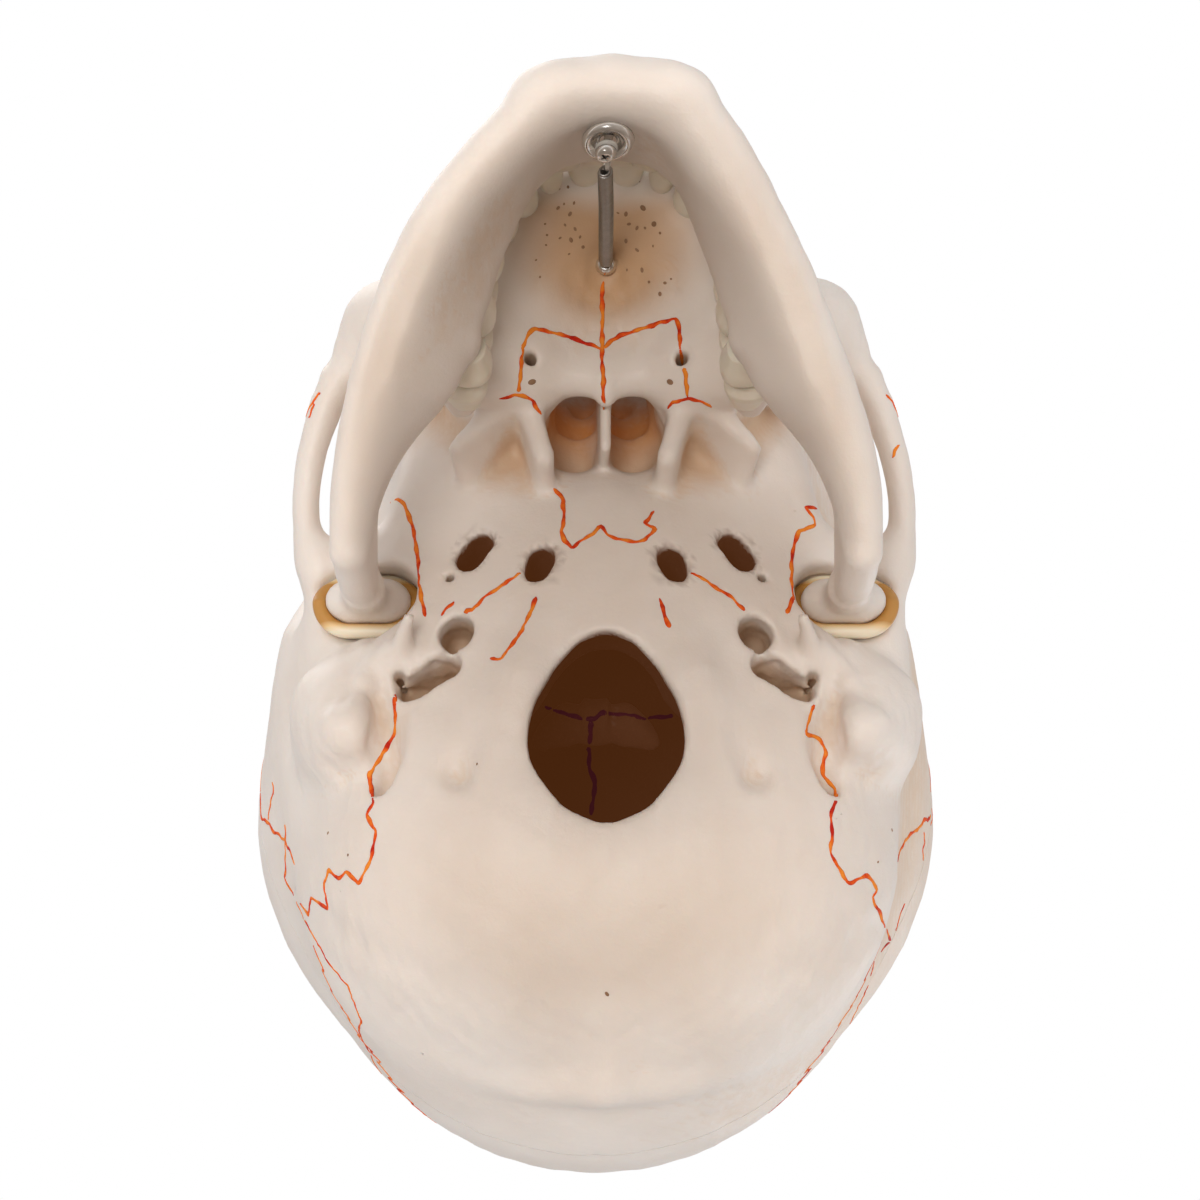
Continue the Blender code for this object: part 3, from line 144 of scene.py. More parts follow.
def head_matrix():
    """Takes the head's own axes to where the skull lies on the table."""
    lift = joint("cap_lift")["axis"]
    tilt = math.atan2(lift[2], lift[1]) - math.atan2(1.0, CAP_SLOPE_SHARE)
    turn = Matrix.Rotation(tilt, 4, "X")
    hinge = Vector(joint("jaw_open")["pos_m"])
    return Matrix.Translation(hinge - turn.to_3x3() @ Vector(place(HINGE_SHARE))) @ turn


HEAD = head_matrix()


# The sculpting kit: distances to a surface on a grid, below zero inside
def melt(first, second, blend):
    near = np.maximum(blend - np.abs(first - second), 0.0) / blend
    return np.minimum(first, second) - near * near * (blend / 4)


class Ellipsoid:
    def __init__(self, shares, wall=0.0, seam=0.0):
        centre, halves = shares
        self.seam = seam
        self.centre = [float(value) for value in place(centre)]
        self.halves = [float(value) - wall for value in spread(halves)]
        self.low = np.array(self.centre) - self.halves
        self.high = np.array(self.centre) + self.halves

    def distance(self, x, y, z):
        side = np.sqrt(x * x + self.seam * self.seam) if self.seam else x
        offset = (side - self.centre[0], y - self.centre[1], z - self.centre[2])
        ratio = np.sqrt(sum((part / half) ** 2 for part, half in zip(offset, self.halves)))
        slope = np.sqrt(sum((part / half ** 2) ** 2 for part, half in zip(offset, self.halves)))
        width = np.where(slope > 1.0, ratio / np.maximum(slope, 1.0), np.float32(min(self.halves)))
        return width * (ratio - 1.0)


class Rod:
    """A chain of tapered rods through points in metres with their radii."""

    def __init__(self, points, flat=1.0):
        self.points = [[float(value) for value in point[:3]] for point in points]
        self.radii = [float(point[3]) for point in points]
        self.stretch = 1.0 / flat
        radii = np.array(self.radii)[:, None]
        self.low = np.min(np.array(self.points) - radii, axis=0)
        self.high = np.max(np.array(self.points) + radii, axis=0)

    def distance(self, x, y, z):
        best = None
        for index in range(max(len(self.points) - 1, 1)):
            start = self.points[index]
            last = min(index + 1, len(self.points) - 1)
            run = [b - a for a, b in zip(start, self.points[last])]
            length = sum(value * value for value in run)
            offset = [x - start[0], y - start[1], z - start[2]]
            along = np.float32(0.0)
            if length:
                along = sum(part * step for part, step in zip(offset, run)) / length
                along = np.clip(along, 0.0, 1.0)
                offset = [part - along * step for part, step in zip(offset, run)]
            radius = self.radii[index] + along * (self.radii[last] - self.radii[index])
            square = sum(part * part for part in offset)
            if self.stretch == 1.0:
                gap = np.sqrt(square) - radius
            else:
                far = np.sqrt(square + (self.stretch ** 2 - 1) * offset[0] ** 2)
                steep = np.sqrt(square + (self.stretch ** 4 - 1) * offset[0] ** 2)
                gap = (far - radius) * far / np.maximum(steep, far / self.stretch ** 2 + STEP / 1000)
            best = gap if best is None else np.minimum(best, gap)
        return best


class Box:
    def __init__(self, shares, rounding=0.0):
        centre, halves = shares
        self.centre = place(centre)
        self.halves = spread(halves)
        self.rounding = rounding
        self.low = self.centre - self.halves
        self.high = self.centre + self.halves

    def distance(self, x, y, z):
        over = [np.abs(value - float(middle)) - float(half) + self.rounding
                for value, middle, half in zip((x, y, z), self.centre, self.halves)]
        outside = np.sqrt(sum(np.maximum(part, 0.0) ** 2 for part in over))
        inside = np.minimum(np.maximum(np.maximum(over[0], over[1]), over[2]), 0.0)
        return outside + inside - self.rounding


class Well:
    """An upright hole with any outline, given as (x, y) points in metres."""

    def __init__(self, outline, bottom, top):
        self.outline = np.array(outline)
        self.low = np.array((*self.outline.min(axis=0), bottom))
        self.high = np.array((*self.outline.max(axis=0), top))

    def distance(self, x, y, z):
        nearest = None
        inside = np.zeros(np.broadcast(x, y).shape, bool)
        for start, end in zip(self.outline, np.roll(self.outline, -1, axis=0)):
            run = end - start
            along = ((x - start[0]) * run[0] + (y - start[1]) * run[1]) / (run @ run)
            along = np.clip(along, 0.0, 1.0)
            square = (x - start[0] - along * run[0]) ** 2 + (y - start[1] - along * run[1]) ** 2
            nearest = square if nearest is None else np.minimum(nearest, square)
            crosses = (y < start[1]) != (y < end[1])
            slope = run[0] / run[1] if run[1] else 0.0
            inside ^= crosses & (x < start[0] + (y - start[1]) * slope)
        flat = np.sqrt(nearest) * np.where(inside, -1.0, 1.0)
        return np.maximum(flat, np.maximum(self.low[2] - z, z - self.high[2])).astype(np.float32)


def rise(values, start, end):
    """0 before start, 1 past end and smooth between, for values in metres and shares."""
    part = np.clip((values / FACE - start) / (end - start), 0, 1)
    return part * part * (3 - 2 * part)


def uneven(points):
    """A real skull is not quite even: crown, arches, jaw and chin each stand a little to one side."""
    forward = -points[:, 1]
    height = points[:, 2]
    front = rise(forward, 0.15, 0.75)
    low = 1 - rise(height, -0.80, -0.60)
    points = points.copy()
    points[:, 0] -= CROWN_DRIFT * rise(height, -0.05, 0.15) * (1 - front)
    points[:, 0] -= FACE_DRIFT * rise(height, -0.30, -0.15) * front
    points[:, 0] += low * ((JAW_DRIFT + CHIN_DRIFT) * rise(forward, 0.66, 0.92) - JAW_DRIFT)
    return points


class Clay:
    """Distances on the grid of the left half; a mesh mirrors them."""

    def __init__(self, low, high, step=STEP):
        self.step = step
        self.axes = []
        for start, end in zip(place(low), place(high)):
            count = int(math.ceil((end - start) / step)) + 1
            self.axes.append((start + step * np.arange(count)).astype(np.float32))
        self.field = np.full([len(axis) for axis in self.axes], VAULT_BLEND, np.float32)

    def alike(self, axes, field):
        copy = Clay.__new__(Clay)
        copy.step = self.step
        copy.axes = axes
        copy.field = field
        return copy

    def blank(self):
        return self.alike(self.axes, np.full_like(self.field, VAULT_BLEND))

    def mirrored(self):
        side = self.axes[0]
        return self.alike([np.concatenate((-side[:0:-1], side)), *self.axes[1:]],
                          np.concatenate((self.field[:0:-1], self.field)))

    def window(self, shape, margin):
        parts = []
        for axis, low, high in zip(self.axes, shape.low, shape.high):
            parts.append(slice(*np.searchsorted(axis, (low - margin, high + margin))))
        lines = [axis[part] for axis, part in zip(self.axes, parts)]
        return tuple(parts), np.meshgrid(*lines, indexing="ij", sparse=True)

    def add(self, shape, blend=CUT_BLEND, sign=1):
        parts, grid = self.window(shape, blend + 3 * self.step)
        if all(part.start < part.stop for part in parts):
            self.field[parts] = sign * melt(sign * self.field[parts], shape.distance(*grid), blend)

    def cut(self, shape, blend=CUT_BLEND):
        self.add(shape, blend, -1)

    def hollow(self, other, blend=CUT_BLEND):
        self.field = -melt(-self.field, other.field, blend)

    def roughen(self, amount, waves, seed, coarse=()):
        """Gentle unevenness of a cast bone: slanted waves near the surface, stronger in the coarse places."""
        chosen = np.random.default_rng(seed)
        near = np.abs(self.field) < 4 * self.step
        spots = np.nonzero(near)
        x, y, z = (axis[index] for axis, index in zip(self.axes, spots))
        gain = np.ones(len(x), np.float32)
        for lump, more in coarse:
            gain += more * np.clip(-Ellipsoid(lump).distance(x, y, z) / COARSE_EDGE, 0, 1)
        total = np.zeros(len(x), np.float32)
        for wave in waves:
            for _ in range(WAVES_EACH):
                lean = chosen.normal(size=3)
                lean *= 2 * math.pi / wave / np.linalg.norm(lean)
                phase = lean[0] * x + lean[1] * y + lean[2] * z + chosen.uniform(0, 2 * math.pi)
                bent = np.sin(phase + WAVE_BEND[0] * np.sin(phase * WAVE_BEND[1] + lean[2] * x))
                total += bent * (wave / waves[0]) ** 0.8
        self.field[near] += total * gain * amount / 3

    def shade(self, reach):
        """How enclosed each place is: the solid share of a box round it, smoothed."""
        solid = np.clip(0.5 - self.field / (2 * self.step), 0, 1).astype(np.float32)
        size = max(int(round(reach / self.step)), 1)
        for _ in range(2):
            for axis in range(3):
                pad = [(0, 0)] * 3
                pad[axis] = (size + 1, size)
                mode = "reflect" if axis == 0 else "edge"
                run = np.cumsum(np.pad(solid, pad, mode=mode), axis=axis, dtype=np.float32)
                upper = np.take(run, range(2 * size + 1, run.shape[axis]), axis=axis)
                lower = np.take(run, range(run.shape[axis] - 2 * size - 1), axis=axis)
                solid = (upper - lower) / (2 * size + 1)
        return solid

    def sample(self, values, points):
        """Values of the grid at points of either side."""
        spots = []
        for axis, line in enumerate(self.axes):
            along = np.abs(points[:, axis]) if axis == 0 else points[:, axis]
            index = np.rint((along - line[0]) / self.step).astype(int)
            spots.append(np.clip(index, 0, len(line) - 1))
        return values[tuple(spots)]

    def mesh(self, name, notes=(), holes=()):
        """A mesh as it lies on the table; a note is (attribute name, grid of values), holes are not mirrored."""
        whole = self.mirrored()
        for hole in holes:
            whole.cut(hole, HOLE_BLEND)
        grid = openvdb.FloatGrid(VAULT_BLEND)
        grid.copyFromArray(whole.field)
        grid.transform = openvdb.createLinearTransform(voxelSize=self.step)
        points, triangles, quads = grid.convertToPolygons(adaptivity=MESH_EASE)
        points = uneven(points + np.array([axis[0] for axis in whole.axes]))
        data = bpy.data.meshes.new(name)
        data.from_pydata(points.tolist(), [], triangles.tolist() + quads.tolist())
        for label, values in notes:
            note = data.attributes.new(label, "FLOAT", "POINT")
            note.data.foreach_set("value", self.sample(values, points).astype(np.float32))
        data.transform(HEAD)
        for vertex in data.vertices:
            vertex.co.z = max(vertex.co.z, 0.0)
        data.shade_smooth()
        return linked(name, data)


def tenths(*table):
    """Shares of 100 mm from a nested table of tenths of a millimetre."""
    return tuple(tenths(*entry) if isinstance(entry, tuple) else entry / 1000 for entry in table)


# Shapes: side, forward and up of the middle of the eye-and-ear plane, and the radius of a rod's points
SKULL_REACH = tenths((0, 1100, -520), (760, -960, 1240))
JAW_REACH = tenths((0, 1040, -1060), (620, -60, 20))
CUP_REACH = tenths((0, 300, -200), (660, 90, 0))
VAULT = tenths(                                           # centre, then half sizes
    ((0, -20, 420), (675, 775, 765)),   # braincase
    ((170, 470, 500), (340, 430, 470)),       # frontal boss
    ((250, -80, 560), (435, 430, 465)),    # parietal boss
    ((0, -420, 350), (460, 405, 420)),     # occiput
)
LOBES = tenths(
    ((210, -340, 50), (360, 360, 330)),     # behind the foramen magnum
    ((350, 160, 170), (270, 360, 290)),       # temple
    ((310, 480, 120), (120, 200, 220)),       # greater wing
)
TEMPLE_HOLLOW = tenths((600, 520, 20), (170, 300, 260))
BRAIN_FLOOR = tenths((0, 0, -300), (1200, 1200, 600))
BRAIN = tenths(
    ((300, 200, 160), (190, 280, 200)),       # temporal lobe
    ((220, -360, 70), (310, 330, 300)),      # cerebellum
    ((0, -300, 140), (340, 400, 260)),
)
BRAINSTEM = tenths((0, 200, 220, 90), (0, 20, 0, 100), (0, -120, -200, 120))
FORAMEN_MAGNUM = tenths((0, 50), (35, 42), (70, 12), (105, -35), (138, -95), (153, -150), (150, -200), (130,
    -250), (95, -295), (45, -328), (0, -338))
FORAMEN_DEPTH = tenths(-500, 50)
BROW = tenths((50, 935, 330, 45), (200, 925, 365, 50), (340, 870, 360, 48), (440, 800, 310, 44), (488, 755, 210,
    40))
LATERAL_RIM = tenths((488, 755, 210, 42), (495, 735, 100, 38), (482, 745, -10, 45), (455, 785, -100, 60))
LOWER_RIM = tenths((460, 765, -35, 45), (370, 835, -60, 45), (260, 885, -55, 45), (165, 915, 10, 40))
NOSE_SIDE = tenths((160, 930, -160, 40), (145, 940, -50, 34), (120, 940, 60, 30), (88, 925, 220, 34))
NASAL_BONE = tenths((60, 960, -20, 14), (30, 1030, 30, 16), (30, 985, 130, 22), (32, 935, 250, 34))
BETWEEN_EYES = tenths((0, 870, 280, 85), (0, 620, 160, 110), (0, 420, 80, 110))
EYE_WALL_TOP = tenths((475, 750, 280, 30), (420, 600, 300, 40), (400, 450, 320, 50))
EYE_WALL_LOW = tenths((460, 760, -20, 30), (370, 600, -30, 35), (340, 450, -20, 40))
ARCH = tenths((450, 765, -125, 58), (545, 665, -100, 50), (595, 520, -65, 42), (607, 400, -50, 40), (592, 300,
    -40, 42), (562, 210, 0, 48), (555, 60, 30, 45))
CHEEK = tenths((440, 780, -170, 66), (355, 750, -330, 50))
SPHENOID = tenths((0, 440, 0, 120), (0, 260, -70, 105), (0, 90, -190, 70))
PETROUS = tenths((500, -30, -90, 100), (340, 60, -110, 85), (220, 150, -90, 65), (150, 200, -60, 50))
MASTOID = tenths((515, -60, -40, 112), (512, -90, -120, 90), (500, -115, -200, 60))
TYMPANIC = tenths((560, -10, -70, 45), (380, 40, -120, 40))
STYLOID = tenths((420, 30, -150, 26), (385, 80, -310, 10))
SHEATH = tenths((372, 120, -165, 10), (425, 55, -190, 12), (480, -10, -185, 10))
TUBERCLE = tenths((380, 310, -30, 50), (560, 300, -40, 44))
CONDYLE_BASE = tenths((118, 45, -250, 36), (165, -45, -285, 46), (198, -150, -262, 38))
FRONT_SPINE = tenths((0, 930, -275, 35), (0, 990, -270, 11))
FACE_BALLS = tenths(
    ((0, 915, 330), (150, 80, 100)),     # glabella
    ((415, 770, -140), (96, 95, 120)),  # cheekbone
    ((200, 760, -200), (200, 200, 210)),     # upper jaw
    ((130, 885, -300), (160, 95, 150)),
    ((185, 620, -220), (105, 100, 180)),   # tuberosity
)
PALATE = tenths((0, 770, -300), (250, 205, 30))
BACK_SPINE = tenths((0, 610, -305, 24), (0, 540, -312, 10))
ORBITS = tenths(((235, 1020, 210, 128), (235, 780, 195, 118), (190, 600, 160, 90), (130, 470, 140, 35)), ((362,
    1020, 195, 122), (335, 780, 185, 112), (250, 620, 160, 80)), ((245, 1020, 105, 125), (240, 780, 115, 112),
    (190, 600, 140, 80)), ((362, 1020, 90, 118), (335, 780, 105, 108), (250, 620, 145, 80)))
EAR_HOLE = tenths((700, -10, -20, 34), (460, 10, -20, 30))
CANINE_HOLLOW = tenths((270, 1000, -190), (80, 110, 90))
NASAL_WAYS = tenths(((68, 1060, -200, 52), (60, 495, -190, 43)), ((66, 1060, -130, 50), (60, 495, -130, 43)),
    ((52, 1060, -40, 38), (50, 600, -50, 36)), ((35, 1060, 30, 22), (35, 660, 20, 24)))
SEPTUM = tenths((0, 700, -100), (10, 250, 180))
MEDIAL_WALL = tenths(((104, 905, 250), (135, 900, 0)), ((125, 640, 270), (155, 640, 10)))
LATERAL_PLATE = tenths(((190, 530, -30), (205, 550, -270)), ((245, 360, -30), (300, 465, -240)))
MEDIAL_PLATE = tenths(((150, 520, -30), (150, 535, -280)), ((116, 360, -40), (120, 425, -280)))
SLOTS = tenths(                                           # two ends of each slanted hole
    (((272, 236, -320, 23), (276, 224, 200, 20)),    # oval
     ((243, 276, -320, 23), (248, 262, 200, 20))),
    (((137, 186, -320, 21), (140, 186, 20, 18)),    # lacerum
     ((126, 222, -320, 23), (130, 220, 20, 20))),
    (((395, -30, -360, 26), (385, -35, -135, 22)),  # jugular
     ((318, 10, -360, 34), (300, 0, -85, 24))),
)
HOLES = tenths(
    ((297, 68, -320, 38), (290, 80, -125, 33)),   # carotid
    ((405, -10, -360, 12), (408, 0, -100, 10)),   # stylomastoid
    ((310, 200, -320, 11), (305, 200, 0, 9)),     # spinous
    ((150, 600, -450, 13), (150, 610, -270, 12)),    # greater palatine
)
GROOVES = tenths(((440, -50, -200, 22), (430, -140, -215, 30), (425, -240, -175, 24)), ((270, -150, -330, 30),
    (290, -230, -300, 30)))
NUCHAL_LINES = tenths(((0, -755, 50, 36), (160, -740, 70, 22), (340, -640, 70, 16), (470, -470, 50, 12)), ((0,
    -575, -120, 22), (130, -560, -122, 18), (260, -490, -115, 16), (360, -350, -115, 12)), ((0, -370, -215, 20),
    (0, -580, -120, 24), (0, -760, 30, 26)))
JAW_EDGE = tenths((0, 908, -930, 57), (90, 895, -930, 57), (168, 838, -912, 55), (266, 718, -868, 53), (357,
    565, -800, 50), (435, 380, -700, 46), (477, 230, -615, 42), (489, 120, -560, 36))
JAW_RIDGE = tenths((0, 940, -680, 42), (105, 915, -680, 42), (185, 845, -675, 45), (245, 715, -660, 50), (285,
    580, -650, 50), (328, 460, -630, 44), (402, 415, -520, 34), (450, 425, -400, 26))
RAMUS_BACK = tenths((486, 115, -560, 36), (483, 106, -440, 33), (482, 130, -340, 32), (480, 165, -245, 30))
RAMUS_FRONT = tenths((448, 380, -600, 36), (458, 425, -450, 28), (472, 425, -330, 23), (478, 400, -245, 20))
NECK = tenths((481, 165, -250, 24), (479, 188, -130, 23))
NECK_FAN = tenths(((473, 172, -230, 22), (452, 186, -150, 20), (420, 195, -108, 24)), ((487, 172, -230, 22),
    (505, 186, -150, 20), (534, 195, -108, 24)))
CORONOID = tenths((474, 400, -300, 23), (472, 410, -130, 15))
CHIN = tenths(((0, 930, -885), (110, 48, 70)), ((120, 900, -930), (60, 50, 50)))
CONDYLE_ENDS = (0.400, 0.550)
COARSE = (                                          # places with more relief, and how much more
    (((0.26, -0.56, -0.08), (0.42, 0.22, 0.16)), 1.2),
    (((0.33, 0.05, -0.14), (0.20, 0.18, 0.13)), 2.5),
    (((0.50, -0.12, -0.18), (0.12, 0.16, 0.12)), 2.0),
    (((0.12, 0.80, -0.34), (0.22, 0.20, 0.07)), 2.0),
)
UPPER_ARCH = (0.275, 0.385, 0.580)      # half width, length ahead of the straight part, its start
LOWER_ARCH = (0.262, 0.362, 0.580)
ARCH_FULLNESS = 2.3
ARCH_TAIL = (0.012, -0.220)
RIDGE_BACK = 0.46
RIDGE_RISE = 0.0150
RIDGE_RADIUS = 0.0064
BITE = (-0.427, -0.146)


def flowing(shares, steps=3):
    """The same chain with points between its own, along smooth curves."""
    knots = [np.array(share, float) for share in shares]
    knots = [2 * knots[0] - knots[1]] + knots + [2 * knots[-1] - knots[-2]]
    chain = []
    for before, start, end, after in zip(knots, knots[1:], knots[2:], knots[3:]):
        bend = before - 2.5 * start + 2 * end - after / 2
        twist = 1.5 * (start - end) + (after - before) / 2
        chain += [start + part * ((end - before) / 2 + part * (bend + part * twist))
                  for part in (step / steps for step in range(steps))]
    return chain + [knots[-2]]


def rod(shares, flat=1.0):
    chain = flowing(shares) if len(shares) > 2 else shares
    return Rod([(*place(share), share[3] * FACE) for share in chain], flat)


def between(first, second, count):
    """Rods from one chain of points to another with as many."""
    for step in range(count + 1):
        part = step / count
        yield rod([tuple((1 - part) * start + part * end for start, end in zip(a, b))
                   for a, b in zip(first, second)])


def add_sheet(clay, first, second, count, blend=CUT_BLEND):
    """A plate between two rods."""
    for strip in between(first, second, count):
        clay.add(strip, blend)


def along_hinge(ends, radius, back=0.0, below=0.0):
    """A rod of the left side along the hinge line of the jaw, or beside it."""
    hinge = place(HINGE_SHARE)
    return Rod([(end, hinge[1] + back, hinge[2] - below, radius) for end in ends])


def arch_line(arch, count=96):
    """Points (side, forward) in metres along the left half of a dental arch, from the front."""
    side, length, centre = arch
    power = 2 / ARCH_FULLNESS
    points = []
    for step in range(count + 1):
        angle = step / count * math.pi / 2
        points.append((side * math.sin(angle) ** power, centre + length * math.cos(angle) ** power))
    points.append((side + ARCH_TAIL[0], centre + ARCH_TAIL[1]))
    return [np.array(point) * FACE for point in points]


def bite_height(forward):
    """Height of the bite in metres at a place forward of the ears, in metres."""
    return BITE[0] * FACE + BITE[1] * forward


def upper_ridge():
    line = arch_line(UPPER_ARCH)
    return Rod([(side, -forward, bite_height(forward) + RIDGE_RISE, RIDGE_RADIUS)
                for side, forward in line[::8] + [line[-1]] if forward >= RIDGE_BACK * FACE])


def rounded(points, turns):
    """A closed outline with its corners cut off again and again."""
    points = np.array(points)
    for _ in range(turns):
        after = np.roll(points, -1, axis=0)
        points = np.stack((points * 0.75 + after * 0.25, points * 0.25 + after * 0.75), 1).reshape(-1, 2)
    return points


def brain(clay):
    """The hollow of the braincase on the grid of the moulding."""
    space = clay.blank()
    for lump in VAULT:
        space.add(Ellipsoid(lump, wall=SKULL_WALL, seam=MIDLINE_SEAM), VAULT_BLEND)
    space.cut(Box(BRAIN_FLOOR))
    for lump in BRAIN:
        space.add(Ellipsoid(lump, seam=MIDLINE_SEAM), FACE_BLEND)
    space.add(rod(BRAINSTEM), FACE_BLEND)
    for socket in ORBITS:
        space.cut(rod([(*share[:3], share[3] + ORBIT_ROOF / FACE) for share in socket]), FACE_BLEND)
    return space


def cup(clay):
    """The soft cup over a condyle: a shell round the hinge line, open below, with a rounded lip."""
    hinge = place(HINGE_SHARE)
    core = along_hinge(CUP_ENDS, CUP_RADIUS)
    parts, grid = clay.window(core, VAULT_BLEND / 4)
    out = core.distance(*grid)
    ahead = np.clip((hinge[1] - grid[1]) / CUP_RADIUS, 0, 1)
    below = float(hinge[2] + CUP_OPEN) + CUP_FRONT_OPEN * ahead - grid[2]
    shell = -melt(CUP_WALL / 2 - np.abs(out), -below, CUP_WALL / 2)
    lip = np.sqrt((out - LIP_OUT) ** 2 + below * below) - LIP_RADIUS
    clay.field[parts] = melt(shell, lip, CUP_WALL / 2)


def sculpt_skull():
    """Base and cap as one moulding, before the cap is sawn off, and the hollow inside it."""
    clay = Clay(*SKULL_REACH)
    for lump in VAULT + LOBES:
        clay.add(Ellipsoid(lump, seam=MIDLINE_SEAM), VAULT_BLEND)
    clay.cut(Ellipsoid(TEMPLE_HOLLOW), FACE_BLEND)
    for lump in FACE_BALLS:
        clay.add(Ellipsoid(lump), FACE_BLEND)
    for shares in (BROW, LATERAL_RIM, LOWER_RIM, BETWEEN_EYES, CHEEK, SPHENOID, PETROUS, MASTOID, TYMPANIC,
                   TUBERCLE, CONDYLE_BASE, FRONT_SPINE, BACK_SPINE, *NUCHAL_LINES):
        clay.add(rod(shares), FACE_BLEND)
    for shares in (STYLOID, SHEATH):
        clay.add(rod(shares))
    add_sheet(clay, EYE_WALL_LOW, EYE_WALL_TOP, 9)
    clay.add(rod(ARCH, flat=0.68), FACE_BLEND)
    clay.add(Box(PALATE, rounding=ORBIT_ROOF), FACE_BLEND)
    clay.add(upper_ridge(), FACE_BLEND)
    root_bulges(clay, UPPER_ARCH, UPPER_TEETH, -1)
    outline = [place((side, forward, 0))[:2] for side, forward in FORAMEN_MAGNUM]
    outline += [point * (-1, 1) for point in outline[-2:0:-1]]
    outline = rounded(outline, 2)
    inside = brain(clay)
    flare = clay.blank()
    middle = np.mean(outline, axis=0)
    flare.add(Well([(point - middle) * FLARE + middle for point in outline], *FLARE_HEIGHTS))
    inside.field = melt(inside.field, np.maximum(flare.field, clay.field + RIM_WALL), CUT_BLEND)
    bores = clay.blank()
    rim = clay.field + 2 * HOLE_BLEND
    clay.hollow(inside)
    for way in ORBITS:
        clay.cut(rod(way))
    clay.cut(Ellipsoid(CANINE_HOLLOW), FACE_BLEND)
    for way in (EAR_HOLE, *NASAL_WAYS):
        clay.cut(rod(way))
    add_sheet(clay, NOSE_SIDE, NASAL_BONE, 4)
    clay.add(Box(SEPTUM, rounding=PLATE / 2), HOLE_BLEND)
    for front, back in (LATERAL_PLATE, MEDIAL_PLATE, MEDIAL_WALL):
        add_sheet(clay, *([(*share, PLATE / 2 / FACE) for share in edge] for edge in (front, back)), 8)
    clay.cut(Well(outline, *(height * FACE for height in FORAMEN_DEPTH)), HOLE_BLEND)
    for hole in HOLES:
        clay.cut(rod(hole), HOLE_BLEND)
    for first, second in SLOTS:
        for bore in between(first, second, SLOT_BORES):
            clay.cut(bore, HOLE_BLEND)
            if first[-1][2] > 0:
                bores.add(bore)
    for groove in GROOVES:
        trench = clay.blank()
        trench.add(rod(groove))
        trench.field = np.maximum(trench.field, PLATE - inside.field)
        clay.hollow(trench)
    clay.cut(along_hinge(CUP_ENDS, CUP_RADIUS + CUP_WALL / 2 + GAP))
    clay.cut(along_hinge(CUP_ENDS, CUP_RADIUS + CUP_WALL, CUP_VIEW * CUP_VIEW_BACK, CUP_VIEW))
    cups = clay.blank()
    cup(cups)
    cups.field -= GAP
    clay.hollow(cups, HOLE_BLEND)
    hinge = place(HINGE_SHARE)
    neck = rod(NECK)
    for stop in range(NECK_STOPS + 1):
        turn = np.array(Matrix.Rotation(JAW_OPENING * stop / NECK_STOPS, 3, "X"))
        clay.cut(Rod([(*(turn @ (np.array(point) - hinge) + hinge), radius + NECK_ROOM)
                      for point, radius in zip(neck.points, neck.radii)]))
    inside.field = np.minimum(inside.field, np.maximum(bores.field * 2, rim))
    return clay, inside


def sculpt_jaw():
    clay = Clay(*JAW_REACH)
    add_sheet(clay, JAW_EDGE, JAW_RIDGE, 5, JAW_BLEND)
    add_sheet(clay, RAMUS_BACK, RAMUS_FRONT, 17, PLATE / 4)
    for shares in (NECK, CORONOID):
        clay.add(rod(shares))
    add_sheet(clay, *NECK_FAN, 5)
    for lump in CHIN:
        clay.add(Ellipsoid(lump), JAW_BLEND)
    root_bulges(clay, LOWER_ARCH, LOWER_TEETH, 1)
    inner, outer = CONDYLE_ENDS
    clay.add(along_hinge((inner * FACE + CONDYLE_RADIUS, outer * FACE - CONDYLE_RADIUS), CONDYLE_RADIUS))
    return clay


# Mouldings
def bare(name, work, smooth=False):
    """A new object from edited geometry, which is used up."""
    data = bpy.data.meshes.new(name)
    work.to_mesh(data)
    work.free()
    if smooth:
        data.shade_smooth()
    return linked(name, data)


def skin(work, rings):
    """Faces from ring to ring, and over both ends."""
    for lower, upper in zip(rings, rings[1:]):
        for index in range(len(lower)):
            after = (index + 1) % len(lower)
            work.faces.new((lower[index], lower[after], upper[after], upper[index]))
    work.faces.new(rings[0][::-1])
    work.faces.new(rings[-1])


def axis_frame(centre, axis, forward=(0, -1, 0)):
    """A matrix at centre with Z along axis and Y as near forward as it can be."""
    up = Vector(axis).normalized()
    ahead = Vector(forward)
    ahead = (ahead - up * ahead.dot(up)).normalized()
    matrix = Matrix((ahead.cross(up), ahead, up)).transposed().to_4x4()
    matrix.translation = Vector(centre)
    return matrix


def sawn(item, name, point, facing):
    """What lies behind a plane of a moulding, with its cut faces closed."""
    work = bmesh.new()
    work.from_mesh(item.data)
    everything = work.verts[:] + work.edges[:] + work.faces[:]
    cut = bmesh.ops.bisect_plane(work, geom=everything, dist=STEP / 1000, plane_co=point, plane_no=facing,
                                 clear_outer=True)
    edges = [part for part in cut["geom_cut"] if isinstance(part, bmesh.types.BMEdge)]
    made = bmesh.ops.triangle_fill(work, use_beauty=True, use_dissolve=False, edges=edges, normal=facing)
    for part in made["geom"]:
        if isinstance(part, bmesh.types.BMFace):
            part.smooth = False
    for edge in edges:
        edge.smooth = False
    return bare(name, work)


def middle(node):
    low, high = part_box(node)
    return (low + high) / 2


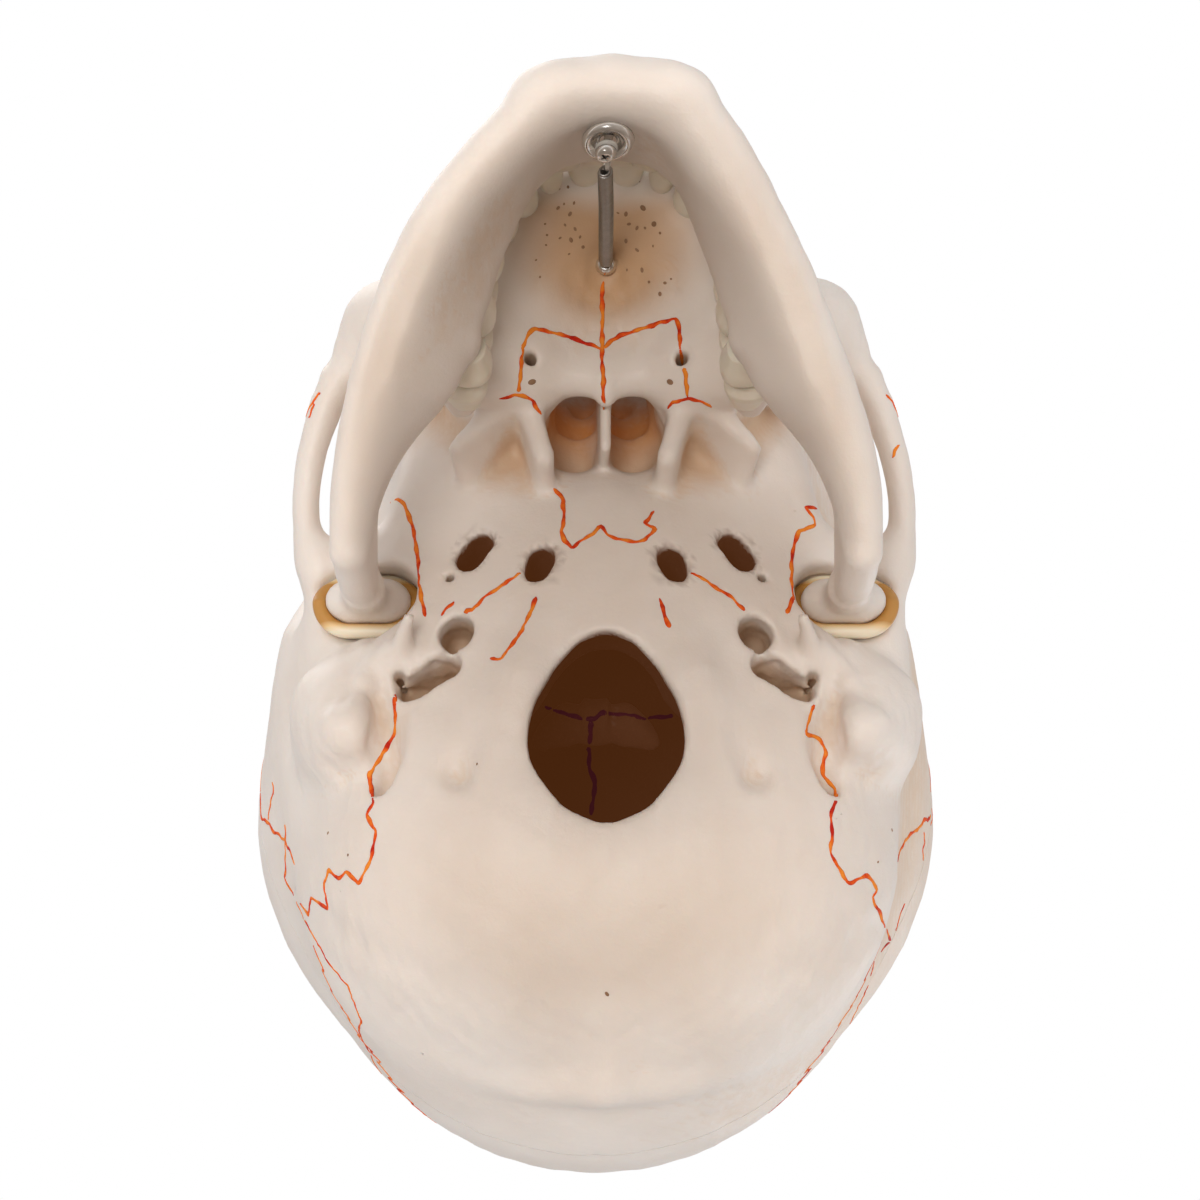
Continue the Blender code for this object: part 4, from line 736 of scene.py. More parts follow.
def fasteners(clay):
    """Locating pins and magnets in the middle of the wall, each on its packed bearing, and their sockets."""
    rooms = []
    made = []
    lift = Vector(joint("cap_lift")["axis"])
    up = np.array(HEAD.inverted().to_3x3() @ lift)
    shares = np.linspace(*SEAT_SEARCH)
    for kind, radius, height in FASTENERS:
        for node in sorted(frame["nodes"]):
            if kind not in node:
                continue
            spot = np.array(HEAD.inverted() @ middle(node))
            line = spot * (0, 0, 1) + shares[:, None] * (spot * (1, 1, 0))
            seat = line[clay.sample(clay.field, line) < 0].mean(axis=0)
            ahead = up * height / 2
            rooms.append(Rod([(*(seat - ahead), radius + GAP), (*(seat + ahead), radius + GAP)]))
            half, edge = height / 2, radius - GAP
            lower = [(0, -half), (edge, -half), (radius, GAP - half)]
            profile = lower + [(reach, -level) for reach, level in lower[::-1]]
            placing = axis_frame(HEAD @ Vector(uneven(seat[None])[0]), lift)
            item = turned(node + "_seated", profile, placing, 24)
            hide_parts(node)
            made.append((item, "cap" if node.startswith("cap_") else "skull_base"))
    return rooms, made


def shades(clay, inner):
    """How enclosed each point of a mesh is, near and deep, and how far inside the braincase: the material paints
    shade and glow from these.
    """
    return ("cavity", clay.shade(NEAR_SHADE)), ("depth", clay.shade(DEEP_SHADE)), ("inner", inner)


def mouldings():
    clay, inside = sculpt_skull()
    clay.roughen(*SKULL_RELIEF, COARSE)
    rooms, seated = fasteners(clay)
    # The inside of the braincase gets painted shade and a painted glow
    whole = clay.mesh("whole", shades(clay, np.clip(1.5 - inside.field / INNER_SHADE_FADE, 0, 1)), rooms)
    lift = Vector(joint("cap_lift")["axis"])
    seat = HEAD @ Vector((0, 0, CAP_PLANE_SHARE * FACE))
    base = sawn(whole, "skull_base_moulding", seat, lift)
    cap = sawn(whole, "skull_cap_moulding", seat + lift * GAP, -lift)
    bpy.data.objects.remove(whole)
    clay = sculpt_jaw()
    clay.roughen(*JAW_RELIEF)
    jaw = clay.mesh("jaw_moulding", shades(clay, clay.field * 0))
    return base, cap, jaw, seated


def joint_cups():
    """The two soft cups between the condyles and their sockets."""
    clay = Clay(*CUP_REACH, STEP / 2)
    cup(clay)
    both = clay.mesh("cups")
    made = []
    for node, sign in (("joint_disc_left", 1), ("joint_disc_right", -1)):
        work = bmesh.new()
        work.from_mesh(both.data)
        other = [vertex for vertex in work.verts if vertex.co.x * sign < 0]
        bmesh.ops.delete(work, geom=other, context="VERTS")
        made.append(bare(node.replace("disc", "cup"), work))
        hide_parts(node)
    bpy.data.objects.remove(both)
    return made


# Turned and bent metal
WASHER = ((0.0016, 0.0006), (0.0022, 0.0007), (0.0028, 0.0011), (0.0034, 0.0016), (0.0040, 0.0018),
          (0.0045, 0.0016), (0.0049, 0.0010), (0.0050, 0.0004), (0.0048, 0.0003), (0.0016, 0.0003))
CHIN_HEAD = (0.0020, 0.0016, 0.0009, 0.0070)        # radius, height, shank radius and depth
PALATE_HEAD = (0.0021, 0.0016, 0.0009, 0.0044)
CHIN_SEAT = 0.0034
PALATE_SEAT = -0.0045
LINK_LEVEL = 0.0026
LINK_WIRE = 0.0005
LINK_TAIL = (0.0057, 0.0048, 0.0036, 0.0024)
COIL_START = 0.0060
COIL_END = 0.0017
COIL_PITCH = 0.00063
COIL_RADIUS = 0.0012
COIL_WIRE = 0.00029
COIL_SIDES = 12
COIL_EASE = 18                                      # steps over which each end narrows


def turns_of(sides):
    return [2 * math.pi * index / sides for index in range(sides)]


def turned(name, profile, placing, sides=40):
    """A closed ring or knob: (radius, height) points turned about Z."""
    work = bmesh.new()
    rings = []
    for radius, height in profile:
        if radius == 0:
            rings.append([work.verts.new((0, 0, height))])
            continue
        rings.append([work.verts.new((radius * math.cos(turn), radius * math.sin(turn), height))
                      for turn in turns_of(sides)])
    closing = rings[:1] if len(rings[0]) > 1 and len(rings[-1]) > 1 else []
    for lower, upper in zip(rings, rings[1:] + closing):
        for index in range(sides):
            after = (index + 1) % sides
            corners = list(dict.fromkeys((lower[index % len(lower)], lower[after % len(lower)],
                                          upper[after % len(upper)], upper[index % len(upper)])))
            if len(corners) > 2:
                work.faces.new(corners)
    bmesh.ops.recalc_face_normals(work, faces=work.faces)
    work.transform(placing)
    return bare(name, work, smooth=True)


def tube(name, points, radius, sides=12):
    """An unbroken round wire through points."""
    points = [Vector(point) for point in points]
    work = bmesh.new()
    rings = []
    side = None
    for index, point in enumerate(points):
        ahead = (points[min(index + 1, len(points) - 1)] - points[max(index - 1, 0)]).normalized()
        if side is None:
            side = ahead.orthogonal().normalized()
        side = (side - ahead * side.dot(ahead)).normalized()
        across = ahead.cross(side)
        rings.append([work.verts.new(point + radius * (side * math.cos(turn) + across * math.sin(turn)))
                      for turn in turns_of(sides)])
    skin(work, rings)
    return bare(name, work, smooth=True)


def subtract(item, cutter):
    change = item.modifiers.new("cut", "BOOLEAN")
    change.object = cutter
    change.solver = "EXACT"
    graph = bpy.context.evaluated_depsgraph_get()
    item.data = bpy.data.meshes.new_from_object(item.evaluated_get(graph))
    item.modifiers.clear()
    bpy.data.objects.remove(cutter)


def cross_recess(item, placing, top, size):
    """The cross slot of a screw head, tapering inward."""
    for turn in (0, math.pi / 2):
        work = bmesh.new()
        bmesh.ops.create_cube(work, size=1.0)
        for vertex in work.verts:
            taper = 1.0 if vertex.co.z > 0 else 0.35
            vertex.co.x *= size * 2 * taper
            vertex.co.y *= size * 0.42 * (0.7 + 0.3 * taper)
            vertex.co.z = top + (size * 0.25 if vertex.co.z > 0 else -size * 0.85)
        work.transform(placing @ Matrix.Rotation(turn + 0.6, 4, "Z"))
        subtract(item, bare("slot", work))


def pan_head(name, placing, radius, height, shank, depth):
    """A pan-head screw whose head stands on Z 0, its shank running down."""
    profile = [(0, -depth - shank)]
    threads = max(int(depth / 0.0007), 1)
    for index in range(threads):
        low = -depth + depth * index / threads
        profile += [(shank * 0.82, low), (shank, low + depth / threads / 2)]
    profile += [(shank * 0.9, 0), (radius, 0)]
    for step in range(9):
        turn = step / 8 * math.pi / 2
        profile.append((radius * (0.35 + 0.65 * math.cos(turn) ** 0.6) if step < 8 else 0,
                        height * (0.15 + 0.85 * math.sin(turn))))
    item = turned(name, profile, placing)
    cross_recess(item, placing, height, radius * 0.52)
    return item


def seat_frame(node, facing, forward, below=GAP):
    """The frame of a turned CAD piece: Z along facing from below its lowest ring."""
    points = np.array([vertex.co for vertex in frame["nodes"][node].data.vertices])
    heights = points @ np.array(facing)
    centre = Vector(points.mean(axis=0))
    return axis_frame(centre + facing * (heights.min() - below - centre.dot(facing)), facing, forward)


def hardware():
    """Cup washer, chin screw, link, spring and palate screw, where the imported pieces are."""
    up = HEAD.to_3x3() @ Vector((0, 0, 1))
    facing = HEAD.to_3x3() @ Vector((0, math.cos(CHIN_SCREW_TILT), -math.sin(CHIN_SCREW_TILT)))
    chin = seat_frame("chin_cup_washer", facing, up)
    cup = turned("cup_washer", WASHER, chin, 56)
    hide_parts("chin_cup_washer")
    screw = pan_head("chin_pan_screw", chin @ Matrix.Translation((0, 0, CHIN_SEAT)), *CHIN_HEAD)
    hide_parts("chin_screw")
    tail = [chin @ Vector((-0.0004, height, LINK_LEVEL)) for height in LINK_TAIL]
    eye = [chin @ Vector((0.0017 * math.sin(turn), 0.0017 * math.cos(turn), LINK_LEVEL))
           for turn in (math.radians(14 + 14 * step) for step in reversed(range(25)))]
    link = tube("clear_link", tail + eye, LINK_WIRE)
    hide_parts("spring_link")
    palate = seat_frame("palate_screw", -up, (0, -1, 0), below=PALATE_SEAT)
    hook = pan_head("palate_pan_screw", palate, *PALATE_HEAD)
    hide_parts("palate_screw")
    start = chin @ Vector((0, COIL_START, LINK_LEVEL))
    end = palate @ Vector((0, 0, COIL_END))
    length = (end - start).length
    coil = axis_frame(start, (end - start).normalized())
    turns = int(length / COIL_PITCH)
    points = []
    for step in range(turns * COIL_SIDES + 1):
        angle = 2 * math.pi * step / COIL_SIDES
        inset = min(step, turns * COIL_SIDES - step, COIL_EASE) / COIL_EASE
        radius = COIL_RADIUS * (0.35 + 0.65 * math.sin(inset * math.pi / 2))
        points.append(coil @ Vector((radius * math.cos(angle), radius * math.sin(angle),
                                     length * step / turns / COIL_SIDES)))
    spring = tube("coil_spring", points, COIL_WIRE, 7)
    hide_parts("jaw_spring")
    return cup, screw, link, hook, spring, start, end


# Teeth: (height share, width share, depth share, lean share) from the neck to the bite
INCISOR = ((-0.70, 0.50, 0.66, 0.0), (0.0, 0.72, 0.88, 0.0), (0.25, 0.86, 0.98, 0.01), (0.55, 0.96, 0.72, 0.04),
           (0.85, 1.00, 0.40, 0.08), (0.97, 0.97, 0.26, 0.10))
LOWER_INCISOR = tuple((high, wide, deep, -lean) for high, wide, deep, lean in INCISOR)
CANINE = ((-0.70, 0.52, 0.70, 0.0), (0.0, 0.76, 0.92, 0.0), (0.35, 0.97, 1.00, 0.02), (0.60, 0.98, 0.80, 0.05),
          (0.80, 0.72, 0.56, 0.07), (0.94, 0.34, 0.34, 0.08))
PREMOLAR = ((-0.70, 0.56, 0.66, 0.0), (0.0, 0.78, 0.86, 0.0), (0.35, 0.97, 1.00, 0.0), (0.60, 1.00, 0.98, 0.0),
            (0.80, 0.90, 0.84, 0.0))
MOLAR = ((-0.70, 0.66, 0.72, 0.0), (0.0, 0.84, 0.88, 0.0), (0.30, 0.97, 0.99, 0.0), (0.60, 1.00, 0.99, 0.0),
         (0.80, 0.93, 0.88, 0.0))
CUSPS = {                                # depth of the relief, then places across and out on the crown
    "molar": (0.0017, ((-0.48, 0.50), (0.48, 0.50), (-0.48, -0.50), (0.48, -0.50))),
    "premolar": (0.0020, ((0.0, 0.48), (0.0, -0.46))),
    "canine": (0.0006, ((0.0, 0.0),)),
    "incisor": (0.0006, ((0.0, 0.0),)),
}
# name, form, width share of the row, depth and crown height shares
UPPER_TEETH = (
    ("central_incisor", INCISOR, 0.130, 0.070, 0.105), ("lateral_incisor", INCISOR, 0.102, 0.062, 0.095),
    ("canine", CANINE, 0.116, 0.081, 0.102), ("first_premolar", PREMOLAR, 0.107, 0.090, 0.086),
    ("second_premolar", PREMOLAR, 0.103, 0.090, 0.080), ("first_molar", MOLAR, 0.157, 0.110, 0.076),
    ("second_molar", MOLAR, 0.149, 0.108, 0.072), ("third_molar", MOLAR, 0.136, 0.098, 0.066),
)
LOWER_TEETH = (
    ("central_incisor", LOWER_INCISOR, 0.082, 0.060, 0.088),
    ("lateral_incisor", LOWER_INCISOR, 0.092, 0.063, 0.090),
    ("canine", CANINE, 0.108, 0.078, 0.102), ("first_premolar", PREMOLAR, 0.110, 0.077, 0.086),
    ("second_premolar", PREMOLAR, 0.111, 0.080, 0.080), ("first_molar", MOLAR, 0.172, 0.100, 0.075),
    ("second_molar", MOLAR, 0.166, 0.098, 0.070), ("third_molar", MOLAR, 0.159, 0.092, 0.066),
)
ROW_BACK = 0.47
BITE_GAP = 0.0005
OVERBITE = 0.0014
TOOTH_GAP = 0.0003
TOOTH_SIDES = 20
TOOTH_LEVELS = 15
TOOTH_SQUARE = 0.82                      # 1 for a round crown, less for a squarer one
ROOT_RIB = 0.009
CANINE_RIB = 0.013
BITE_SHARE = 0.2                         # of the crown, that the cusps take up


def row_places(arch, table):
    """(kind, form, width, depth, crown, side, forward, ahead) of the left half of a row, in metres."""
    points = []
    back = ROW_BACK * FACE
    for point in arch_line(arch):
        if points and point[1] < back:
            part = (points[-1][1] - back) / (points[-1][1] - point[1])
            points.append(points[-1] + part * (point - points[-1]))
            break
        points.append(point)
    lengths = [0.0]
    for start, end in zip(points, points[1:]):
        lengths.append(lengths[-1] + float(np.linalg.norm(end - start)))
    sides, forwards = zip(*points)
    total = sum(entry[2] for entry in table)
    run = 0.0
    places = []
    for kind, form, wide, deep, tall in table:
        width = wide / total * lengths[-1]
        spots = [np.array([np.interp(run + width * part, lengths, line) for line in (sides, forwards)])
                 for part in (0.25, 0.5, 0.75)]
        run += width
        places.append((kind, form, width - TOOTH_GAP, deep * FACE, tall * FACE, *spots[1], spots[2] - spots[0]))
    return places, forwards[-1]


def tooth(name, kind, form, width, depth, crown, placing):
    """A crown with the top of its root; the bite is cut into cusps and grooves."""
    heights = [row[0] for row in form]
    work = bmesh.new()
    rings = []
    levels = list(np.linspace(heights[0], heights[-1], TOOTH_LEVELS))
    relief, cusps = CUSPS[kind.split("_")[-1]]

    def bite(across, out):
        near = min((across - spot[0]) ** 2 + (out - spot[1]) ** 2 for spot in cusps)
        return -relief * min(near * 1.9, 1.0)

    for level, shrink in [(level, 1.0) for level in levels] + [(1.0, part) for part in (0.90, 0.72, 0.5, 0.25)]:
        wide, deep, lean = (np.interp(level, heights, [row[column] for row in form]) for column in (1, 2, 3))
        ring = []
        for index in range(TOOTH_SIDES):
            angle = 2 * math.pi * (index + 0.5) / TOOTH_SIDES
            across, out = (math.copysign(abs(value) ** TOOTH_SQUARE, value) * shrink
                           for value in (math.cos(angle), math.sin(angle)))
            height = level * crown
            if level > heights[-1] - BITE_SHARE:
                height += bite(across, out) * min((level - heights[-1] + BITE_SHARE) / BITE_SHARE, 1.0)
            ring.append(work.verts.new((width / 2 * wide * across, depth / 2 * deep * out + lean * depth,
                                        height)))
        rings.append(ring)
    skin(work, rings)
    bmesh.ops.recalc_face_normals(work, faces=work.faces)
    work.transform(placing)
    return bare(name, work, smooth=True)


def set_teeth(row, arch, table, pointing):
    """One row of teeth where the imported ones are; pointing is -1 where the crowns hang down."""
    made = []
    places, last = row_places(arch, table)
    for kind, form, width, depth, crown, side, forward, ahead in places:
        edge = bite_height(forward) - pointing * BITE_GAP / 2
        if form is INCISOR:
            edge -= OVERBITE
        for side_name, sign in (("left", 1), ("right", -1)):
            along = Vector((sign * ahead[0], -ahead[1], 0)).normalized()
            up = Vector((0, 0, pointing))
            out = up.cross(along)
            if out.dot(Vector((sign * side, last - forward, 0))) < 0:
                along = -along
                out = -out
            turn = Matrix((along, out, up)).transposed().to_4x4()
            placing = HEAD @ Matrix.Translation((sign * side, -forward, edge - pointing * crown)) @ turn
            node = f"{row}_{side_name}_{kind}"
            item = tooth(node + "_crown", kind, form, width, depth, crown, placing)
            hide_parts(node)
            made.append(item)
    return made


def root_bulges(clay, arch, table, pointing):
    """Soft ribs in the ridge over the roots of the teeth."""
    places, last = row_places(arch, table)
    for kind, _, width, depth, crown, side, forward, _ in places:
        out = np.array((side, forward - last))
        out = out / np.linalg.norm(out) * (1, -1)
        long = CANINE_RIB if "canine" in kind else ROOT_RIB
        start = bite_height(forward) - pointing * crown
        size = min(width, depth) * 0.40
        low = np.array((side, -forward)) + out * (depth / 2 - size * 0.75)
        high = low - out * 0.0015
        clay.add(Rod([(*low, start, size), (*high, start - pointing * long, size * 0.7)]))


# The photo's camera, in head shares: 21 degrees off the axis of the base, 8.3 units away
CAMERA_LEAN = math.radians(21.0)
CAMERA_RANGE = 8.3
SENSOR = 36
PHOTO_WIDTH = 1200
CAMERA_SCALE = 510.0                    # pixels for one unit at the pivot
CAMERA_PIVOT = (0.0, 0.05, -0.25)
CAMERA_CENTRE = (606.0, 643.0)          # pixel of the pivot


def photo_axes():
    """The camera's place and its right, up and back axes, where the skull lies on the table."""
    back = np.array((0.0, -math.sin(CAMERA_LEAN), -math.cos(CAMERA_LEAN)))
    up = np.array((0.0, math.cos(CAMERA_LEAN), -math.sin(CAMERA_LEAN)))
    right = np.array((1.0, 0.0, 0.0))
    spot = (np.array(CAMERA_PIVOT) + right * (PHOTO_WIDTH / 2 - CAMERA_CENTRE[0]) / CAMERA_SCALE
            + up * (CAMERA_CENTRE[1] - PHOTO_WIDTH / 2) / CAMERA_SCALE + back * CAMERA_RANGE)
    turn = HEAD.to_3x3()
    rear = (turn @ Vector(place(back))).normalized()
    top = (turn @ Vector(place(up))).normalized()
    return HEAD @ Vector(place(spot)), top.cross(rear), top, rear


def photo_ray(pixel):
    spot, right, top, rear = photo_axes()
    across, down = ((value - PHOTO_WIDTH / 2) / (CAMERA_SCALE * CAMERA_RANGE) for value in pixel[:2])
    return spot, (right * across - top * down - rear).normalized()


def tree_of(item):
    data = item.data
    points = np.empty(len(data.vertices) * 3, np.float32)
    data.vertices.foreach_get("co", points)
    return BVHTree.FromPolygons(points.reshape(-1, 3).tolist(), [tuple(face.vertices) for face in data.polygons])


INK_WIDTH = 0.00085
THIN_INK = 0.0006
INNER_INK = 0.0010
INK_HEIGHT = 0.00013
PIT_LIFT = 0.00003
PIT_HEIGHT = 0.00016
PITCH_PIXELS = 2.2
PITCH_SHARE = 0.008
LINE_BREAK = 0.004
ZIGZAG_MIDDLE = np.array((0.0, 0.0, 0.4))


class Painter:
    """Draws thin painted lines, and small dark spots of painted shade at pits, on the mouldings."""

    def __init__(self, mouldings):
        self.trees = {name: tree_of(item) for name, item in mouldings.items()}
        self.lines = {name: bmesh.new() for name in mouldings}
        self.pits = {name: bmesh.new() for name in mouldings}
        # lines inside the braincase, which wear the paint's shaded copy
        self.dim = {name: bmesh.new() for name in mouldings}
        self.chosen = np.random.default_rng(3)

    def best(self, names, ask):
        """The nearest place that the mouldings answer with: place, normal, moulding and distance."""
        answers = [(name, ask(self.trees[name])) for name in names]
        return min(((found[0], found[1], name, found[3]) for name, found in answers if found[0] is not None),
                   key=lambda found: found[3], default=None)

    def hit(self, origin, ahead, names=("base", "cap", "jaw")):
        return self.best(names, lambda tree: tree.ray_cast(origin, ahead))

    def nearest(self, spot):
        return self.best(("base", "cap"), lambda tree: tree.find_nearest(spot))

    def run(self, places, width):
        """Lays a line through found places, breaking it where it changes piece or depth."""
        stretch = []
        for found in places:
            if stretch and (found[2] != stretch[-1][2] or (found[0] - stretch[-1][0]).length > LINE_BREAK):
                self.lay(stretch, width)
                stretch = []
            stretch.append(found)
        self.lay(stretch, width)

    def lay(self, stretch, width):
        if len(stretch) < 4:
            return
        points = [found[0] for found in stretch]
        normals = [found[1] for found in stretch]
        for _ in range(3):
            padded = normals[:1] + normals + normals[-1:]
            normals = [sum(three, Vector()).normalized() for three in zip(padded, padded[1:], padded[2:])]
        points = points[:1] + [(before + point * 2 + after) / 4 for before, point, after
                               in zip(points, points[1:], points[2:])] + points[-1:]
        work = self.lines[stretch[0][2]]
        rings = []
        shift = self.chosen.uniform(0, 6.28)
        for index, (point, normal) in enumerate(zip(points, normals)):
            ahead = (points[min(index + 1, len(points) - 1)] - points[max(index - 1, 0)]).normalized()
            across = normal.cross(ahead).normalized()
            waves = 1 + 0.22 * math.sin(index * 0.9 + shift) + 0.15 * math.sin(index * 0.37 + shift)
            swell = 0.5 * width * waves * (0.4 if index in (0, len(points) - 1) else 1)
            rings.append([work.verts.new(point + across * swell * math.cos(turn)
                                         + normal * INK_HEIGHT * math.sin(turn))
                          for turn in (math.pi * step / 3 for step in range(6))])
        skin(work, rings)

    def wander(self, knots, pitch, jitter):
        """Close-set points through knots with a drawn line's small unevenness."""
        knots = [np.array(knot, float) for knot in knots]
        points = []
        for start, end in zip(knots, knots[1:]):
            steps = max(int(np.linalg.norm(end - start) / pitch), 1)
            for step in range(steps):
                points.append(start + (end - start) * step / steps)
        points.append(knots[-1])
        drift = np.cumsum(self.chosen.normal(size=(len(points), len(knots[0]))), axis=0)
        drift -= np.linspace(drift[0], drift[-1], len(points))
        drift /= max(np.abs(drift).max(), 1e-9)
        drift += 0.5 * self.chosen.uniform(-1, 1, drift.shape)
        return [point + part * jitter for point, part in zip(points, drift)]

    def photo_line(self, pixels, width=INK_WIDTH, jitter=1.5):
        found = [self.hit(*photo_ray(pixel), ("base", "cap"))
                 for pixel in self.wander(pixels, PITCH_PIXELS, jitter)]
        self.run([answer for answer in found if answer is not None], width)

    def side_line(self, shares, jitter=PITCH_SHARE, both=True):
        """A line given by shares near the outer surface; both sides unless told not to."""
        for sign in (1, -1) if both else (1,):
            spots = self.wander([(share[0] * sign, *share[1:]) for share in shares], PITCH_SHARE, jitter)
            self.run([self.nearest(HEAD @ Vector(place(spot))) for spot in spots], INK_WIDTH)

    def zigzag(self, shares, teeth, reach, **more):
        """A line of interlocking teeth along a path of shares."""
        knots = []
        spots = [np.array(share, float) for share in shares]
        lengths = [0.0] + list(np.cumsum([np.linalg.norm(b - a) for a, b in zip(spots, spots[1:])]))

        def along(at):
            at = min(max(at, 0), lengths[-1])
            return np.array([np.interp(at, lengths, line) for line in zip(*spots)])

        for step in range(teeth * 2 + 1):
            at = lengths[-1] * step / teeth / 2
            spot = along(at)
            ahead = along(at + 0.01) - along(at - 0.01)
            ahead /= np.linalg.norm(ahead)
            out = spot - ZIGZAG_MIDDLE
            sideways = np.cross(ahead, out / np.linalg.norm(out))
            knots.append(spot + sideways * reach * self.chosen.uniform(0.5, 1.0) * (1 if step % 2 else -1)
                         + ahead * self.chosen.uniform(-1, 1) * reach * 0.35)
        self.side_line(knots, **more)

    # A flat dark spot of painted shade where a small hole is
    def pit(self, found, size):
        if found is None:
            return
        work = self.pits[found[2]]
        placing = axis_frame(found[0] + found[1] * PIT_LIFT, found[1], found[1].orthogonal())
        turn = self.chosen.uniform(0, 3.1)
        stretch = self.chosen.uniform(1.0, 1.7)
        made = bmesh.ops.create_uvsphere(work, u_segments=10, v_segments=6, radius=0.5)
        for vertex in made["verts"]:
            spot = Matrix.Rotation(turn, 3, "Z") @ Vector((vertex.co.x * size * stretch, vertex.co.y * size,
                                                           vertex.co.z * PIT_HEIGHT))
            vertex.co = placing @ spot

    def finish(self):
        made = {}
        for label, works in (("sutures", self.lines), ("pits", self.pits), ("inner_sutures", self.dim)):
            for name, work in works.items():
                if not work.faces:
                    work.free()
                    continue
                bmesh.ops.recalc_face_normals(work, faces=work.faces)
                made[label, name] = bare(f"{label}_{name}", work, smooth=True)
        return made


# Painted sutures read off the photo, in its pixels
PHOTO_SUTURES = (
    ((603, 281), (602, 346), (603, 410)),
    ((603, 349), (594, 346), (574, 339), (560, 334), (534, 328), (528, 333), (523, 346), (521, 379), (518, 392)),
    ((603, 349), (618, 336), (640, 328), (657, 323), (676, 317), (680, 327), (682, 357), (686, 374), (688, 397)),
    ((500, 399), (519, 396), (530, 399), (542, 414)),
    ((667, 408), (674, 402), (688, 398), (703, 401), (711, 407)),
    ((553, 488), (562, 499), (563, 517), (560, 531), (563, 541), (570, 548), (579, 541), (592, 534), (600, 525),
     (608, 535), (619, 539), (633, 541), (644, 540), (656, 529), (644, 523), (654, 511)),
    ((384, 500), (391, 502), (398, 499), (404, 504), (411, 524), (415, 546), (418, 573), (420, 594), (425, 617)),
    ((817, 508), (805, 507), (813, 517), (816, 525), (800, 530), (795, 541), (792, 558), (792, 580), (795, 597),
     (787, 614)),
    ((442, 615), (454, 602)), ((464, 612), (472, 611), (491, 593), (506, 584), (521, 573)),
    ((691, 573), (705, 580), (720, 592), (732, 598), (745, 611)),
    ((536, 597), (528, 614), (518, 634), (500, 659), (491, 658)), ((660, 598), (665, 616), (670, 628)),
    ((395, 695), (395, 733), (370, 774), (375, 802), (368, 813), (377, 830), (372, 856), (359, 883), (347, 870),
     (339, 878), (329, 869), (324, 884), (328, 909), (311, 897), (308, 915), (293, 894), (284, 879), (285, 848),
     (285, 825)),
    ((814, 705), (805, 733), (818, 737), (826, 749), (823, 772), (836, 790), (836, 802), (831, 818), (833, 838),
     (831, 852), (839, 869), (849, 884), (867, 875), (878, 889), (872, 897), (886, 927), (891, 943)),
)
PHOTO_THIN_SUTURES = (
    ((296, 902), (326, 959), (347, 985), (360, 1020), (358, 1031), (377, 1072), (394, 1090), (420, 1120)),
    ((905, 904), (891, 943)), ((924, 833), (921, 869)),
    ((889, 942), (876, 959), (865, 992), (852, 1020), (845, 1038), (824, 1064), (806, 1083), (787, 1105)),
    ((273, 782), (269, 820)), ((933, 804), (930, 826)), ((314, 403), (308, 418)), ((899, 445), (893, 458)),
    ((416, 409), (407, 425)),
)
INNER_SUTURES = (
    ((545, 707), (579, 717), (594, 719), (602, 712), (633, 715), (642, 719), (673, 716)),
    ((591, 721), (588, 768), (594, 782), (591, 815)),
)
# The same lines where the photo does not reach, as shares just outside the surface
CORONAL = ((0.56, 0.43, 0.30), (0.58, 0.40, 0.50), (0.60, 0.36, 0.70), (0.50, 0.30, 1.00), (0.30, 0.26, 1.20),
           (0.00, 0.22, 1.24))
SAGITTAL = ((0.0, 0.22, 1.24), (0.0, -0.10, 1.26), (0.0, -0.45, 1.10), (0.0, -0.72, 0.82))
LAMBDOID = ((0.0, -0.72, 0.82), (0.20, -0.76, 0.68), (0.40, -0.72, 0.45), (0.52, -0.62, 0.25),
            (0.58, -0.48, 0.10))
SQUAMOSAL = ((0.56, 0.43, 0.30), (0.66, 0.34, 0.42), (0.74, 0.12, 0.46), (0.76, -0.10, 0.36), (0.74, -0.24, 0.16),
             (0.70, -0.30, 0.10))
PTERION = ((0.56, 0.43, 0.30), (0.52, 0.56, 0.24), (0.50, 0.64, 0.22))
SPHENOID_WING = ((0.56, 0.43, 0.30), (0.56, 0.40, 0.12), (0.50, 0.36, 0.00))
CHEEK_SUTURES = (
    ((0.50, 0.82, 0.17), (0.55, 0.74, 0.17), (0.53, 0.68, 0.18)),
    ((0.66, 0.66, -0.02), (0.66, 0.62, -0.10), (0.62, 0.64, -0.18)),
    ((0.33, 0.92, -0.02), (0.38, 0.92, -0.12), (0.40, 0.90, -0.24), (0.44, 0.86, -0.34)),
)
NASAL_SUTURES = (
    ((0.0, 1.00, 0.26), (0.0, 1.06, 0.14), (0.0, 1.08, 0.05)),
    ((0.0, 1.02, 0.27), (0.05, 1.00, 0.27), (0.10, 0.97, 0.25), (0.14, 0.94, 0.22)),
)
# Pits of the palate and elsewhere, drawn as dark spots of painted shade, in the photo's pixels, with their sizes
# in millimetres
PITS = (
    (549, 192, 0.9), (577, 175, 0.6), (568, 187, 0.7), (570, 214, 0.9), (564, 204, 0.5), (558, 208, 0.8),
    (574, 203, 0.6), (559, 189, 0.5), (565, 225, 0.6), (575, 229, 0.8), (580, 237, 0.7), (571, 240, 1.0),
    (583, 247, 0.9), (560, 238, 0.6), (547, 235, 0.6), (545, 224, 0.5), (546, 245, 0.5), (569, 254, 0.5),
    (536, 260, 0.5), (540, 277, 0.6), (626, 214, 1.0), (643, 208, 1.3), (654, 224, 1.4), (629, 224, 0.8),
    (637, 228, 0.8), (645, 228, 0.7), (626, 241, 1.0), (660, 233, 0.7), (653, 246, 0.5), (637, 250, 0.8),
    (656, 187, 0.8), (639, 181, 0.5), (618, 213, 0.5), (642, 270, 0.9), (627, 270, 0.6), (649, 282, 0.8),
    (665, 283, 0.8), (671, 279, 0.6), (660, 294, 1.0), (328, 833, 0.7), (348, 855, 0.7), (892, 830, 0.7),
    (878, 862, 0.6), (477, 764, 0.6), (607, 994, 0.9), (532, 382, 1.6), (670, 382, 1.6),
)


